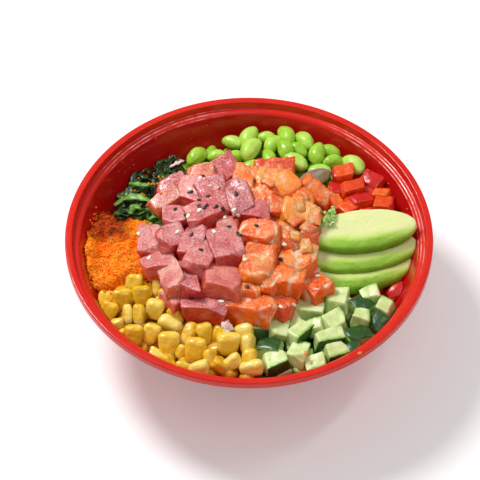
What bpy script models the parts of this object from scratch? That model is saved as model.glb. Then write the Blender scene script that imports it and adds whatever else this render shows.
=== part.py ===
"""Poke bowl: a round red bowl with rice, a ring of six toppings, avocado slices and a heap of diced fish.

The numbers below are millimetres; MM turns them into Blender's metres. +Z is up, the origin is the middle
of the foot's base, and -Y is the side nearest the eater. Angles are degrees, anticlockwise from +X seen
from above.
"""

import math
import random

import bmesh
import bpy
from mathutils import Euler, Matrix, Vector

MM = 0.001
GAP = 0.35  # clearance between pieces that touch

# Bowl
RIM_RADIUS = 100.0
BOWL_HEIGHT = 62.0
WALL = 1.2
FOOT_RADIUS = 49.5
FOOT_HEIGHT = 1.8
FLOOR_Z = FOOT_HEIGHT + WALL
FLOOR_RADIUS = 46.0
WALL_TOP_RADIUS, WALL_TOP_Z = 92.0, 56.2
KNEE_Z = 46.3  # where the straight upper wall turns into the curved lower wall
WALL_SLOPE = 0.41
KNEE_RADIUS = WALL_TOP_RADIUS - (WALL_TOP_Z - KNEE_Z) * WALL_SLOPE
KNEE_HANDLE = 6.0
FLOOR_CONTROL = (62.0, 8.0)
LOWER_WALL_STEPS = 4
LOWER_STEP_WIDTH, LOWER_STEP_HEIGHT = 1.4, 1.2  # the small step where the wall ends
RIM_WIDTH = 3.8  # flat top of the rim
RIM_EDGE = 0.5  # softened edges of the rim
LEDGE_DROP = 4.2  # from the rim's top to the ledge that carries a lid
SKIRT_DEPTH = 4.4
FOOT_WALL = 3.0
BOWL_SEGMENTS = 36
SEGMENT_ANGLE = 360.0 / BOWL_SEGMENTS

# Rice
RICE_RING_Z = 33.0
RICE_MOUND_RADIUS = 36.0
RICE_MOUND_EDGE_Z = 46.0
RICE_MOUND_TOP_Z = 58.0

# Heap of fish: the tops of its pieces lie on a dome
DOME_X, DOME_Y = -6.0, 0.0
DOME_RADIUS = 52.0
DOME_EDGE_Z, DOME_TOP_Z = 61.0, 73.0
FISH_HEIGHT = 14.0
FISH_LEVELLING = 0.5  # share of the dome's slope that a piece follows
FISH_LEAN = 9.0  # most that a piece leans any way
UNEVENNESS = 0.13  # how far a corner of a diced piece strays, as a share of the piece's side
CUT_EDGE = 1.3  # width of the softened edges of the fish

# (x, y, length, width, yaw, lift above the dome); a piece is pressed in where an earlier one lies on it
TUNA = (
    (-13, 47, 17, 15, 38, 3), (-6, 18, 24, 12, -74, 3), (-25, 9, 20, 16, 25, 3), (-20, 28, 17, 14, 12, 2),
    (-26, -20, 18, 13, 62, 2), (-14, -33, 22, 18, -6, 2), (-41, 11, 12, 12, 10, 2), (-48, 25, 20, 12, 32, 2),
    (-26, 42, 16, 12, 5, 2), (-12, -11, 25, 17, -78, 1), (-42, -4, 15, 15, 20, 1), (-43, -26, 26, 13, 102, 1),
    (-32, 30, 18, 13, 80, 1), (-17, 16, 16, 13, -20, 1), (-31, -8, 22, 12, 80, 0), (-33, -29, 26, 11, 98, 0),
    (-42, 36, 17, 14, 25, 0), (4, 11, 13, 12, -10, 0), (-53, -1, 18, 12, 85, -1), (-50, -16, 16, 14, 10, -1),
    (-24, -43, 24, 14, -8, -2), (-12, 3, 13, 11, 0, -2), (-39, -38, 15, 13, 30, -3),
)
SALMON = (
    (16, 34, 22, 16, -8, 2), (28, 11, 26, 14, -12, 2), (6, -5, 22, 17, -12, 2), (21, -30, 16, 14, -10, 2),
    (-1, 38, 20, 12, 80, 1), (8, 24, 15, 12, 15, 1), (31, 23, 15, 12, 80, 1), (5, -23, 26, 18, 80, 1),
    (26, -17, 19, 17, -12, 1), (22, -6, 15, 12, -15, 1), (12, -33, 17, 10, 70, 1), (15, 49, 23, 12, 8, 0),
    (38, 35, 22, 13, -30, 0), (18, 14, 17, 13, -15, 0), (34, 2, 17, 11, 78, 0), (35, -30, 20, 16, -55, 0),
    (1, -45, 28, 16, -18, -1), (0, -37, 14, 12, 0, -1), (18, -42, 18, 14, 65, -2),
)

# Ring of toppings: each fills a sector, from one angle to the next
HEAP_INNER_RADIUS = RICE_MOUND_RADIUS + 1.0
HEAP_SIDE_GAP = 0.25
HEAP_WALL_GAP = 0.8
HEAP_DETAIL = 0.36  # share of the faces kept where a heap's pieces meet
LIMIT_GROWTH = 0.05  # keeps the sides of a heap's limit from lying on those of its core
SECTORS = {
    "edamame": (45.0, 118.125),
    "wakame": (118.125, 157.5),
    "masago": (157.5, 196.875),
    "corn": (196.875, 275.625),
    "cucumber": (275.625, 337.5),
    "pepper": (337.5, 405.0),
}
# Each heap's core: its height at the bowl's wall and at its inner edge, and how much lower it lies at the
# sector's start and at its end
CORES = {
    "edamame": (47.0, 50.0, 0.0, 2.0),
    "wakame": (41.5, 50.0, 0.0, 0.0),
    "masago": (46.0, 52.0, 0.0, 2.0),
    "corn": (46.5, 49.0, 0.0, 0.0),
    "cucumber": (45.5, 48.0, 0.0, 4.0),
    "pepper": (45.5, 48.5, 12.0, 0.0),
}
LUMPS = {"wakame": 1.5, "masago": 0.9}  # how uneven the heaps are that have no larger pieces on top
LUMPY_STEPS = 8
LUMPY_CROWN = 6.0  # how far such a heap bulges between its inner edge and the wall

# Edamame beans on top of their heap: (x, y, height of the middle, length, yaw)
BEANS = (
    (-29, 67, 49, 14, 50), (-18, 68, 49, 10, 10), (-9, 77, 50, 12, -20), (-23, 60, 48, 10, 0),
    (-8, 66, 50, 11, 15), (0, 80, 51, 14, 60), (1, 69, 53, 16, 64), (10, 80, 50, 11, -10),
    (13, 74, 51, 13, 58), (11, 66, 50, 12, -70), (20, 70, 53, 14, -76), (21, 80, 52, 14, -70),
    (31, 77, 51, 14, -52), (28, 70, 52, 11, -40), (26, 61, 52, 15, -34), (38, 66, 53, 14, 80),
    (45, 70, 50, 12, -10), (47, 61, 52, 12, 15), (58, 59, 52, 15, -45), (39, 56, 50, 13, 5),
    (51, 53, 49, 12, 20), (2, 59, 50, 13, 10), (-13, 58, 49, 12, 30), (14, 56, 50, 13, -15),
)
BEAN_WIDTH, BEAN_HEIGHT = 0.70, 0.64  # of the bean's length
BEAN_RADIUS = 0.53  # over half, because flat faces cut inside the round bean

DICE_LEAN = 14.0  # most that a cucumber or pepper piece leans any way

# Cucumber dice: (x, y, height of the middle, length, width, yaw)
CUCUMBER_DICE = (
    (33, -42, 51, 15, 11, -10), (48, -37, 52, 12, 13, -12), (60, -38, 49, 11, 11, 40),
    (60, -48, 51, 9, 10, -8), (66, -31, 50, 10, 9, 10), (73, -40, 49, 12, 9, 70), (6, -56, 49, 9, 9, 5),
    (16, -56, 51, 10, 11, -4), (27, -59, 51, 15, 9, 50), (36, -53, 50, 9, 8, 0), (46, -51, 51, 12, 10, 40),
    (42, -63, 51, 16, 9, 15), (58, -59, 49, 13, 10, 30), (11, -67, 49, 12, 10, -15),
    (15, -76, 51, 14, 11, 16), (27, -71, 50, 12, 9, 70), (46, -71, 50, 11, 9, 20), (36, -76, 49, 12, 9, 15),
    (55, -67, 48, 10, 9, 10), (23, -49, 49, 10, 9, 20), (69, -49, 48, 10, 9, 50),
)
CUCUMBER_HEIGHT = 9.0

# Sweet pepper dice: (x, y, height of the middle, length, width, yaw)
PEPPER_DICE = (
    (52, 51, 53, 11, 10, 10), (57, 40, 53, 13, 9, 18), (68, 47, 50, 12, 9, -32), (61, 32, 52, 15, 11, 28),
    (73, 37, 51, 9, 8, -10), (74, 29, 51, 11, 9, -8), (55, 26, 51, 9, 9, 30), (65, 22, 50, 10, 9, 0),
    (48, 41, 50, 9, 9, 0), (80, 19, 49, 9, 8, 20), (65, 40, 48, 10, 9, 60), (80, -23, 39, 9, 9, 15),
    (80, -11, 40, 9, 9, 40), (47, 31, 50, 9, 9, 25),
)
PEPPER_HEIGHT = 9.0

# Corn kernels on top of their heap: (x, y, height of the middle, yaw, roll)
KERNELS = (
    (-69, -33, 51, 20, 0), (-59, -32, 52, 100, 20), (-62, -24, 52, 40, -30), (-51, -25, 51, 80, 10),
    (-77, -31, 49, 110, 40), (-76, -41, 49, 60, 10), (-65, -43, 51, 90, -20), (-57, -45, 51, 95, 30),
    (-51, -39, 52, 120, -10), (-70, -50, 49, 15, 20), (-61, -56, 50, 30, 10), (-52, -56, 51, 0, -25),
    (-40, -46, 52, 60, 15), (-46, -49, 51, 130, 20), (-43, -62, 50, 150, 5), (-33, -54, 51, 20, 30),
    (-23, -58, 51, 70, -10), (-30, -69, 51, 100, 15), (-13, -65, 51, 160, 0), (-1, -66, 51, 10, 25),
    (-3, -55, 51, 40, -15), (-17, -51, 51, 140, 10), (-52, -69, 48, 45, 10), (-42, -73, 48, 80, -20),
    (-35, -80, 48, 10, 15), (-26, -79, 50, 60, 30), (-17, -78, 50, 95, -10), (2, -81, 50, 85, 10),
    (-8, -79, 50, 100, 20), (-7, -72, 49, 30, -30), (1, -73, 50, 120, 15), (-35, -62, 49, 0, 40),
    (-51, -64, 49, 110, -15), (-65, -62, 47, 70, 20), (-20, -68, 49, 20, 10), (-12, -87, 47, 0, 0),
)
KERNEL_SIZE = (9.6, 8.0, 6.2)
KERNEL_EDGE = 1.8
KERNEL_TAPER = 0.25  # how much narrower its tip is

# Avocado: slices of one half, each lying on the next one nearer the eater
AVOCADO_HALF_LENGTH = 30.0
AVOCADO_HALF_WIDTH = 12.0
AVOCADO_DEPTH = 11.3
AVOCADO_END_FULLNESS = 0.4  # 1 makes the ends as round as the sides
SLICE_THICKNESS = 7.5
SLICE_TILT = 12.0
AVOCADO_SLICES = ((61.5, 5.4, 56.0, 8.0), (62.0, -2.4, 47.2, 10.0), (59.5, -10.2, 41.0, 10.0))  # x, y, z, yaw

# Red onion slice, a bent leaf between the edamame and the salmon
ONION_SIZE = (19.0, 9.0, 2.2)
ONION_PLACE = (37.0, 51.0, 55.0)
ONION_TILT, ONION_YAW = 38.0, 22.0
ONION_BEND = 1.5  # how far its ends hang below its middle

COLOURS = {
    "bowl": (0.70, 0.025, 0.012),
    "rice": (0.86, 0.83, 0.76),
    "edamame": (0.40, 0.66, 0.07),
    "wakame": (0.02, 0.11, 0.02),
    "masago": (0.95, 0.22, 0.01),
    "corn": (0.90, 0.58, 0.05),
    "cucumber": (0.62, 0.74, 0.36),
    "pepper": (0.72, 0.03, 0.01),
    "tuna": (0.60, 0.16, 0.16),
    "salmon": (0.88, 0.26, 0.07),
    "avocado": (0.66, 0.76, 0.25),
    "onion": (0.48, 0.28, 0.30),
}
GLOSSY, MOIST, MATT = 0.25, 0.35, 0.7  # roughness
ROUGHNESS = {"bowl": GLOSSY, "corn": GLOSSY, "edamame": GLOSSY, "rice": MATT}  # the others are moist
SHARP_ANGLE = 40.0  # edges that turn more than this stay sharp

# First random seed of each kind of piece
CUCUMBER_SEED, PEPPER_SEED, KERNEL_SEED, LEAN_SEED = 200, 300, 400, 1000


def clear_scene():
    for obj in list(bpy.data.objects):
        bpy.data.objects.remove(obj)


def make_material(name):
    material = bpy.data.materials.new(name)
    material.use_nodes = True
    shader = material.node_tree.nodes["Principled BSDF"]
    shader.inputs["Base Color"].default_value = (*COLOURS[name], 1.0)
    shader.inputs["Roughness"].default_value = ROUGHNESS.get(name, MOIST)
    shader.inputs["Metallic"].default_value = 0.0
    return material


def make_collection(name, helper=False):
    collection = bpy.data.collections.new(name)
    bpy.context.scene.collection.children.link(collection)
    collection.hide_render = helper
    return collection


def add_object(name, bm, collection, material=None):
    """Turns a bmesh in millimetres into an object in metres."""
    bmesh.ops.recalc_face_normals(bm, faces=bm.faces)
    bmesh.ops.scale(bm, vec=(MM, MM, MM), verts=bm.verts)
    mesh = bpy.data.meshes.new(name)
    bm.to_mesh(mesh)
    bm.free()
    obj = bpy.data.objects.new(name, mesh)
    collection.objects.link(obj)
    if material:
        mesh.materials.append(material)
    return obj


def add_helper(name, bm):
    obj = add_object(name, bm, HELPERS)
    obj.hide_render = True
    obj.display_type = "WIRE"
    return obj


def add_booleans(obj, operation, others, solver="EXACT"):
    """Adds one Boolean for each helper object."""
    for other in others:
        modifier = obj.modifiers.new(other.name, "BOOLEAN")
        modifier.operation = operation
        modifier.solver = solver
        modifier.object = other


def largest_island(bm):
    """Deletes every loose bit of a mesh but its largest."""
    unseen, best = set(bm.verts), set()
    while unseen:
        stack, island = [unseen.pop()], set()
        while stack:
            vert = stack.pop()
            island.add(vert)
            for edge in vert.link_edges:
                other = edge.other_vert(vert)
                if other in unseen:
                    unseen.remove(other)
                    stack.append(other)
        if len(island) > len(best):
            best = island
    bmesh.ops.delete(bm, geom=[vert for vert in bm.verts if vert not in best], context="VERTS")


def apply_booleans(obj):
    """Makes the cut shape the object's own mesh, without loose crumbs."""
    bpy.context.view_layer.update()
    evaluated = obj.evaluated_get(bpy.context.evaluated_depsgraph_get())
    bm = bmesh.new()
    bm.from_mesh(evaluated.to_mesh())
    evaluated.to_mesh_clear()
    largest_island(bm)
    obj.modifiers.clear()
    bm.to_mesh(obj.data)
    bm.free()


def smooth_rounds(obj):
    """Shades the round stretches smooth and leaves the cut edges sharp."""
    obj.data.shade_smooth()
    obj.data.set_sharp_from_angle(angle=math.radians(SHARP_ANGLE))


def reach(obj):
    """The object's lowest and highest corner."""
    corners = [obj.matrix_world @ vert.co for vert in obj.data.vertices]
    return [Vector(map(pick, zip(*corners))) for pick in (min, max)]


def near(first, others):
    """The objects whose boxes meet the first one's box."""
    low, high = reach(first)
    found = []
    for other in others:
        other_low, other_high = reach(other)
        if all(low[i] < other_high[i] and other_low[i] < high[i] for i in range(3)):
            found.append(other)
    return found


def place(bm, position, rotation):
    """Turns a shape about the origin, by degrees about X, Y and Z, and moves it."""
    angles = [math.radians(angle) for angle in rotation]
    turn = Euler(angles).to_matrix().to_4x4()
    bmesh.ops.transform(bm, matrix=Matrix.Translation(position) @ turn, verts=bm.verts)


def bezier(controls, steps):
    """Points along the Bezier curve of four control points, both ends included."""
    points = []
    for step in range(steps + 1):
        t = step / steps
        weights = ((1 - t) ** 3, 3 * t * (1 - t) ** 2, 3 * t * t * (1 - t), t ** 3)
        points.append(tuple(sum(w * c[i] for w, c in zip(weights, controls)) for i in (0, 1)))
    return points


def lower_wall(inset):
    """The curved lower wall, from the floor up to the knee, moved in by inset."""
    floor = (FLOOR_RADIUS - inset * 0.5, FLOOR_Z + inset)
    knee = (KNEE_RADIUS - inset, KNEE_Z)
    floor_control = (FLOOR_CONTROL[0] - inset * 0.7, FLOOR_CONTROL[1] + inset * 0.7)
    knee_control = (knee[0] - KNEE_HANDLE * WALL_SLOPE, KNEE_Z - KNEE_HANDLE)
    return bezier((floor, floor_control, knee_control, knee), LOWER_WALL_STEPS)


def wall_radius(z):
    """Inner radius of the bowl at a height."""
    wall = [*lower_wall(0.0), (WALL_TOP_RADIUS, WALL_TOP_Z)]
    for (low_r, low_z), (high_r, high_z) in zip(wall, wall[1:]):
        if z <= high_z:
            return low_r + (high_r - low_r) * (z - low_z) / (high_z - low_z)
    return WALL_TOP_RADIUS


def turned(name, profile, collection, material=None):
    """A turned solid, or a cutter without a material. The profile starts at the axis, on the upper side."""
    bm = bmesh.new()
    verts = [bm.verts.new((radius * MM, 0.0, z * MM)) for radius, z in profile]
    for first, second in zip(verts, verts[1:]):
        bm.edges.new((first, second))
    mesh = bpy.data.meshes.new(name)
    bm.to_mesh(mesh)
    bm.free()
    obj = bpy.data.objects.new(name, mesh)
    collection.objects.link(obj)
    if material:
        mesh.materials.append(material)
    else:
        obj.hide_render = True
        obj.display_type = "WIRE"
    screw = obj.modifiers.new("Turn", "SCREW")
    screw.steps = screw.render_steps = BOWL_SEGMENTS
    screw.use_merge_vertices = True
    screw.merge_threshold = 0.00001
    screw.use_smooth_shade = True
    return obj


def make_bowl(material):
    """A thin moulded bowl: foot ring, curved wall, small step, lid ledge and a rolled rim with a skirt."""
    rim, top = RIM_RADIUS, BOWL_HEIGHT
    rim_inner, ledge_z = rim - RIM_WIDTH, top - LEDGE_DROP
    step_radius = WALL_TOP_RADIUS + LOWER_STEP_WIDTH
    inside = [(0, FLOOR_Z), *lower_wall(0.0), (WALL_TOP_RADIUS, WALL_TOP_Z)]
    ledge = [(step_radius, WALL_TOP_Z + LOWER_STEP_HEIGHT), (rim_inner - RIM_EDGE, ledge_z)]
    rolled_rim = [
        (rim_inner, top - RIM_EDGE), (rim - RIM_EDGE, top), (rim, top - RIM_EDGE),
        (rim, top - SKIRT_DEPTH), (rim - WALL, top - SKIRT_DEPTH), (rim - WALL, top - WALL),
    ]
    underside = [
        (rim_inner + WALL, top - WALL), (rim_inner + RIM_EDGE, ledge_z - WALL),
        (step_radius, WALL_TOP_Z - WALL / 2),
    ]
    outside = lower_wall(-WALL)[::-1]
    foot = [
        (FOOT_RADIUS, FOOT_HEIGHT), (FOOT_RADIUS, 0), (FOOT_RADIUS - FOOT_WALL, 0),
        (FOOT_RADIUS - FOOT_WALL, FOOT_HEIGHT), (0, FOOT_HEIGHT),
    ]
    profile = [*inside, *ledge, *rolled_rim, *underside, *outside[:-1], *foot]
    return turned("bowl", profile, PARTS, material)


def rice_profile(grow=0.0):
    """The rice's outline: a mound in the middle of a lower ring. grow swells its upper side."""
    mound_rise = RICE_MOUND_TOP_Z - RICE_MOUND_EDGE_Z
    mound = [
        (RICE_MOUND_RADIUS * share + grow, RICE_MOUND_EDGE_Z + grow + mound_rise * (1 - share ** 2))
        for share in (0.6, 1.0)
    ]
    ring_z = RICE_RING_Z + grow
    ring = [(RICE_MOUND_RADIUS + grow + 0.3, ring_z), (wall_radius(RICE_RING_Z) - HEAP_WALL_GAP, ring_z)]
    side = [point for point in lower_wall(GAP) if point[1] < RICE_RING_Z - 2.0]
    return [(0, RICE_MOUND_TOP_Z + grow), *mound, *ring, *reversed(side), (0, FLOOR_Z + GAP)]


def dome_height(x, y):
    """Height of the fish heap's outer surface."""
    share = ((x - DOME_X) ** 2 + (y - DOME_Y) ** 2) / DOME_RADIUS ** 2
    return DOME_EDGE_Z + (DOME_TOP_Z - DOME_EDGE_Z) * (1 - share)


def dome_tilt(x, y):
    """Rotation about X and Y that lays a piece along the dome."""
    slope = FISH_LEVELLING * 2 * (DOME_TOP_Z - DOME_EDGE_Z) / DOME_RADIUS ** 2
    return -math.degrees(math.atan(slope * (DOME_Y - y))), -math.degrees(math.atan(slope * (DOME_X - x)))


def uneven_block(size, seed, grow=0.0, edge=0.0):
    """A block whose eight corners stray a little, as a knife leaves them.

    grow moves every face out, and edge is the width of its softened upper edges.
    """
    bm = bmesh.new()
    bmesh.ops.create_cube(bm, size=1.0)
    softened = [item for item in bm.edges if all(vert.co.z > 0 for vert in item.verts)]
    draw = random.Random(seed)
    for vert in bm.verts:
        stray = Vector([draw.uniform(-UNEVENNESS, UNEVENNESS) for _ in range(3)])
        corner = Vector([(vert.co[i] + stray[i]) * size[i] for i in range(3)])
        vert.co = corner + Vector([math.copysign(grow, corner[i]) for i in range(3)])
    bmesh.ops.triangulate(bm, faces=bm.faces, quad_method="FIXED")
    if edge:
        bmesh.ops.bevel(bm, geom=softened, offset=edge, segments=1, profile=0.5, affect="EDGES")
        bmesh.ops.triangulate(bm, faces=bm.faces)
    return bm


def fish_block(row, seed, grow=0.0, edge=0.0):
    """One diced piece of fish, laid on the dome."""
    x, y, length, width, yaw, lift = row
    bm = uneven_block((length, width, FISH_HEIGHT), seed, grow, edge)
    draw = random.Random(LEAN_SEED + seed)
    tilt_x, tilt_y = dome_tilt(x, y)
    lean = [draw.uniform(-FISH_LEAN, FISH_LEAN) for _ in range(2)]
    place(bm, (0, 0, -FISH_HEIGHT / 2), (0, 0, yaw))
    place(bm, (0, 0, 0), (lean[0], lean[1], 0))
    place(bm, (x, y, dome_height(x, y) + lift), (tilt_x, tilt_y, 0))
    return bm


def make_fish(materials, rice_cutter):
    """Every tuna and salmon piece, each pressed in where the pieces above it lie. Returns their cutters."""
    rows = [("tuna", row) for row in TUNA] + [("salmon", row) for row in SALMON]
    order = sorted(range(len(rows)), key=lambda i: -rows[i][1][5])
    names = {}
    for kind in ("tuna", "salmon"):
        members = [i for i in range(len(rows)) if rows[i][0] == kind]
        names.update({i: f"{kind}_{n:02d}" for n, i in enumerate(members, 1)})
    cutters = []
    for i in order:
        kind, row = rows[i]
        obj = add_object(names[i], fish_block(row, i, 0.0, CUT_EDGE), PARTS, materials[kind])
        add_booleans(obj, "DIFFERENCE", near(obj, cutters) + [rice_cutter])
        apply_booleans(obj)
        cutters.append(add_helper(f"{names[i]}_cutter", fish_block(row, i, GAP)))
    return cutters


def avocado_slice(x, y, z, yaw, grow=0.0):
    """A lengthwise slice: the part of an avocado's side between two parallel cuts."""
    bm = bmesh.new()
    bmesh.ops.create_uvsphere(bm, u_segments=20, v_segments=10, radius=1.0)
    for vert in bm.verts:
        ring = math.hypot(vert.co.x, vert.co.y)
        end = ring ** (AVOCADO_END_FULLNESS - 1) if ring > 1e-6 else 0.0
        vert.co = Vector((vert.co.x * end * (AVOCADO_HALF_LENGTH + grow),
                          vert.co.y * (AVOCADO_HALF_WIDTH + grow), vert.co.z * (AVOCADO_DEPTH + grow)))
    for height, side in ((SLICE_THICKNESS + grow, 1), (-grow, -1)):
        geometry = bm.verts[:] + bm.edges[:] + bm.faces[:]
        cut = bmesh.ops.bisect_plane(bm, geom=geometry, dist=1e-5, plane_co=(0, 0, height),
                                     plane_no=(0, 0, side), clear_outer=True)
        edges = [item for item in cut["geom_cut"] if isinstance(item, bmesh.types.BMEdge)]
        bmesh.ops.contextual_create(bm, geom=edges)
    place(bm, (0, 0, 0), (SLICE_TILT, 0, 0))
    place(bm, (x, y, z), (0, 0, yaw))
    return bm


def hollow_profile():
    """Outline of the bowl's inside, a gap away from its wall."""
    wall = lower_wall(GAP)
    top = (WALL_TOP_RADIUS - GAP, WALL_TOP_Z)
    return [(0, BOWL_HEIGHT + 10), (top[0], BOWL_HEIGHT + 10), top, *reversed(wall), (0, FLOOR_Z + GAP)]


def make_avocado(material, fish_cutters, rice_cutter, hollow):
    """Three slices, shingled towards the eater, and pressed in under the fish and each other."""
    cutters = []
    for number, row in enumerate(AVOCADO_SLICES, 1):
        obj = add_object(f"avocado_slice_{number}", avocado_slice(*row), PARTS, material)
        add_booleans(obj, "INTERSECT", [hollow])
        add_booleans(obj, "DIFFERENCE", near(obj, fish_cutters + cutters) + [rice_cutter])
        apply_booleans(obj)
        smooth_rounds(obj)
        cutters.append(add_helper(f"avocado_cutter_{number}", avocado_slice(*row, GAP)))
    return cutters


def onion_leaf(grow=0.0):
    """A thin leaf, bent along its length."""
    length, width, thickness = ONION_SIZE
    bm = bmesh.new()
    bmesh.ops.create_uvsphere(bm, u_segments=10, v_segments=6, radius=0.5)
    for vert in bm.verts:
        bend = ONION_BEND * (2 * vert.co.x) ** 2
        vert.co = Vector((vert.co.x * (length + 2 * grow), vert.co.y * (width + 2 * grow),
                          vert.co.z * (thickness + 2 * grow) - bend))
    place(bm, ONION_PLACE, (ONION_TILT, 0, ONION_YAW))
    return bm


def make_onion(material, cutters):
    obj = add_object("red_onion_slice", onion_leaf(), PARTS, material)
    add_booleans(obj, "DIFFERENCE", near(obj, cutters))
    apply_booleans(obj)
    smooth_rounds(obj)
    return add_helper("onion_cutter", onion_leaf(GAP))


def sector_shape(sector, top_of, rings=1, refine=1, grow=0.0):
    """A solid wedge of the ring. top_of(radius share, angle share) gives its height."""
    start, end = sector
    low = RICE_RING_Z + GAP - grow
    steps = refine * round((end - start) / SEGMENT_ANGLE)
    side_gap = math.degrees((HEAP_SIDE_GAP - grow) / HEAP_INNER_RADIUS)
    bm = bmesh.new()

    def row(share, z_of):
        angle = math.radians(start + side_gap + (end - start - 2 * side_gap) * share)
        verts = []
        for ring in range(rings + 1):
            z = z_of(ring / rings, share)
            inner, outer = HEAP_INNER_RADIUS - grow, wall_radius(z) - HEAP_WALL_GAP + grow
            radius = inner + (outer - inner) * ring / rings
            verts.append(bm.verts.new((radius * math.cos(angle), radius * math.sin(angle), z)))
        return verts

    lower = [row(step / steps, lambda u, v: low) for step in range(steps + 1)]
    upper = [row(step / steps, top_of) for step in range(steps + 1)]
    for rows in (lower, upper):
        for near_row, far_row in zip(rows, rows[1:]):
            for ring in range(rings):
                bm.faces.new((near_row[ring], near_row[ring + 1], far_row[ring + 1], far_row[ring]))
    edges = [edge for edge in bm.edges if edge.is_boundary]
    bmesh.ops.bridge_loops(bm, edges=edges)
    bmesh.ops.dissolve_limit(bm, angle_limit=0.001, verts=bm.verts, edges=bm.edges)
    bmesh.ops.triangulate(bm, faces=bm.faces)
    return bm


def heap_core(name):
    """The heap's body below its uppermost pieces, or all of it, with a lumpy crown, where it has none."""
    outer, inner, start_drop, end_drop = CORES[name]
    lump = LUMPS.get(name, 0.0)
    draw = random.Random(name)

    def top(u, v):
        drop = start_drop * (1 - v) ** 2 + end_drop * v ** 2
        crown = LUMPY_CROWN * u * (1 - u) if lump else 0.0
        return inner + (outer - inner) * u + crown - drop + draw.uniform(-lump, lump)

    rings, refine = (LUMPY_STEPS, 2) if lump else (1, 1)
    return sector_shape(SECTORS[name], top, rings, refine)


def bean_shape(row):
    """A round bean lying along its yaw."""
    x, y, z, length, yaw = row
    bm = bmesh.new()
    bmesh.ops.create_uvsphere(bm, u_segments=7, v_segments=4, radius=BEAN_RADIUS)
    place(bm, (0, 0, 0), (0, 90, 0))
    bmesh.ops.scale(bm, vec=(length, length * BEAN_WIDTH, length * BEAN_HEIGHT), verts=bm.verts)
    place(bm, (x, y, z), (0, 0, yaw))
    return bm


def dice_shapes(rows, height, first_seed):
    """Diced pieces, each leaning its own way."""
    shapes = []
    for seed, (x, y, z, length, width, yaw) in enumerate(rows, first_seed):
        bm = uneven_block((length, width, height), seed)
        draw = random.Random(seed)
        lean = [draw.uniform(-DICE_LEAN, DICE_LEAN) for _ in range(2)]
        place(bm, (x, y, z), (*lean, yaw))
        shapes.append(bm)
    return shapes


def kernel_shapes():
    """Corn kernels: soft blocks that narrow to their tips."""
    shapes = []
    for seed, (x, y, z, yaw, roll) in enumerate(KERNELS, KERNEL_SEED):
        bm = uneven_block(KERNEL_SIZE, seed, 0.0, KERNEL_EDGE)
        for vert in bm.verts:
            vert.co.y *= 1 - KERNEL_TAPER * (0.5 + vert.co.x / KERNEL_SIZE[0])
        place(bm, (x, y, z), (roll, 0, yaw))
        shapes.append(bm)
    return shapes


def simplify(obj):
    """Leaves out the many small faces where a heap's pieces meet."""
    modifier = obj.modifiers.new("Simplify", "DECIMATE")
    modifier.ratio = HEAP_DETAIL


def make_heap(name, material, shapes, cutters):
    """A heap: its core joined to its upper pieces, kept to its sector and pressed in under what lies on it.

    Its Booleans use the MANIFOLD solver, because EXACT leaves open edges where so many pieces meet.
    """
    obj = add_object(f"{name}_heap", heap_core(name), PARTS, material)
    pieces = [add_helper(f"{name}_piece_{i}", bm) for i, bm in enumerate(shapes)]
    whole_sector = sector_shape(SECTORS[name], lambda u, v: BOWL_HEIGHT, grow=LIMIT_GROWTH)
    limit = add_helper(f"{name}_limit", whole_sector)
    if pieces:
        add_booleans(obj, "UNION", pieces, "MANIFOLD")
        simplify(obj)
    add_booleans(obj, "INTERSECT", [limit], "MANIFOLD")
    add_booleans(obj, "DIFFERENCE", near(limit, cutters), "MANIFOLD")
    apply_booleans(obj)
    smooth_rounds(obj)


def make_heaps(materials, cutters):
    """The six toppings of the ring."""
    shapes = {
        "edamame": [bean_shape(row) for row in BEANS],
        "wakame": [],
        "masago": [],
        "corn": kernel_shapes(),
        "cucumber": dice_shapes(CUCUMBER_DICE, CUCUMBER_HEIGHT, CUCUMBER_SEED),
        "pepper": dice_shapes(PEPPER_DICE, PEPPER_HEIGHT, PEPPER_SEED),
    }
    for name in SECTORS:
        make_heap(name, materials[name], shapes[name], cutters)


clear_scene()
PARTS = make_collection("poke_bowl")
HELPERS = make_collection("helpers", helper=True)
MATERIALS = {name: make_material(name) for name in COLOURS}

make_bowl(MATERIALS["bowl"])
turned("rice", rice_profile(), PARTS, MATERIALS["rice"])
rice_guide = turned("rice_cutter", rice_profile(GAP), HELPERS)
fish = make_fish(MATERIALS, rice_guide)
hollow_guide = turned("hollow_cutter", hollow_profile(), HELPERS)
avocado = make_avocado(MATERIALS["avocado"], fish, rice_guide, hollow_guide)
onion = make_onion(MATERIALS["onion"], fish + avocado)
make_heaps(MATERIALS, [*fish, *avocado, onion])
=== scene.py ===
"""The looks of the poke bowl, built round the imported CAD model.

Shapes are worked out in millimetres, in the CAD's frame, and turned into metres when they become objects.
+Z is up and -Y is the side nearest the eater. The layout lists repeat or refine the ones in part.py, so
that each real bean, kernel or cube lies where the CAD's heap has its bump. Their angles are degrees.
"""

import math
import random

import bmesh
import bpy
import numpy as np
from mathutils import Euler, Matrix, Vector, noise
from mathutils.bvhtree import BVHTree


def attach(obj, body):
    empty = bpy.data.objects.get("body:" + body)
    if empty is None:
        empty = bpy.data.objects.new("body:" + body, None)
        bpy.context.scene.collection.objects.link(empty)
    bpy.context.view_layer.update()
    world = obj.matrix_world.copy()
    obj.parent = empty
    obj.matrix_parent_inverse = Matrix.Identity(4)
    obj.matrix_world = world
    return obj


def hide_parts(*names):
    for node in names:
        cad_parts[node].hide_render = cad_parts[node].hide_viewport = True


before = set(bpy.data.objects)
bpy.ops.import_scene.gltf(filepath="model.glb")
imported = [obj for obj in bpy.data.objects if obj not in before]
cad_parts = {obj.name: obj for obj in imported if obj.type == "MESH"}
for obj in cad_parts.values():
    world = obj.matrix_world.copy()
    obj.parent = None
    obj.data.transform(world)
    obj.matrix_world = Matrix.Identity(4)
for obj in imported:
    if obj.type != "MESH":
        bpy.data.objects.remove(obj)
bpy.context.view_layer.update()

MM = 0.001

# ---------------- sizes and places that part.py has too

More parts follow.
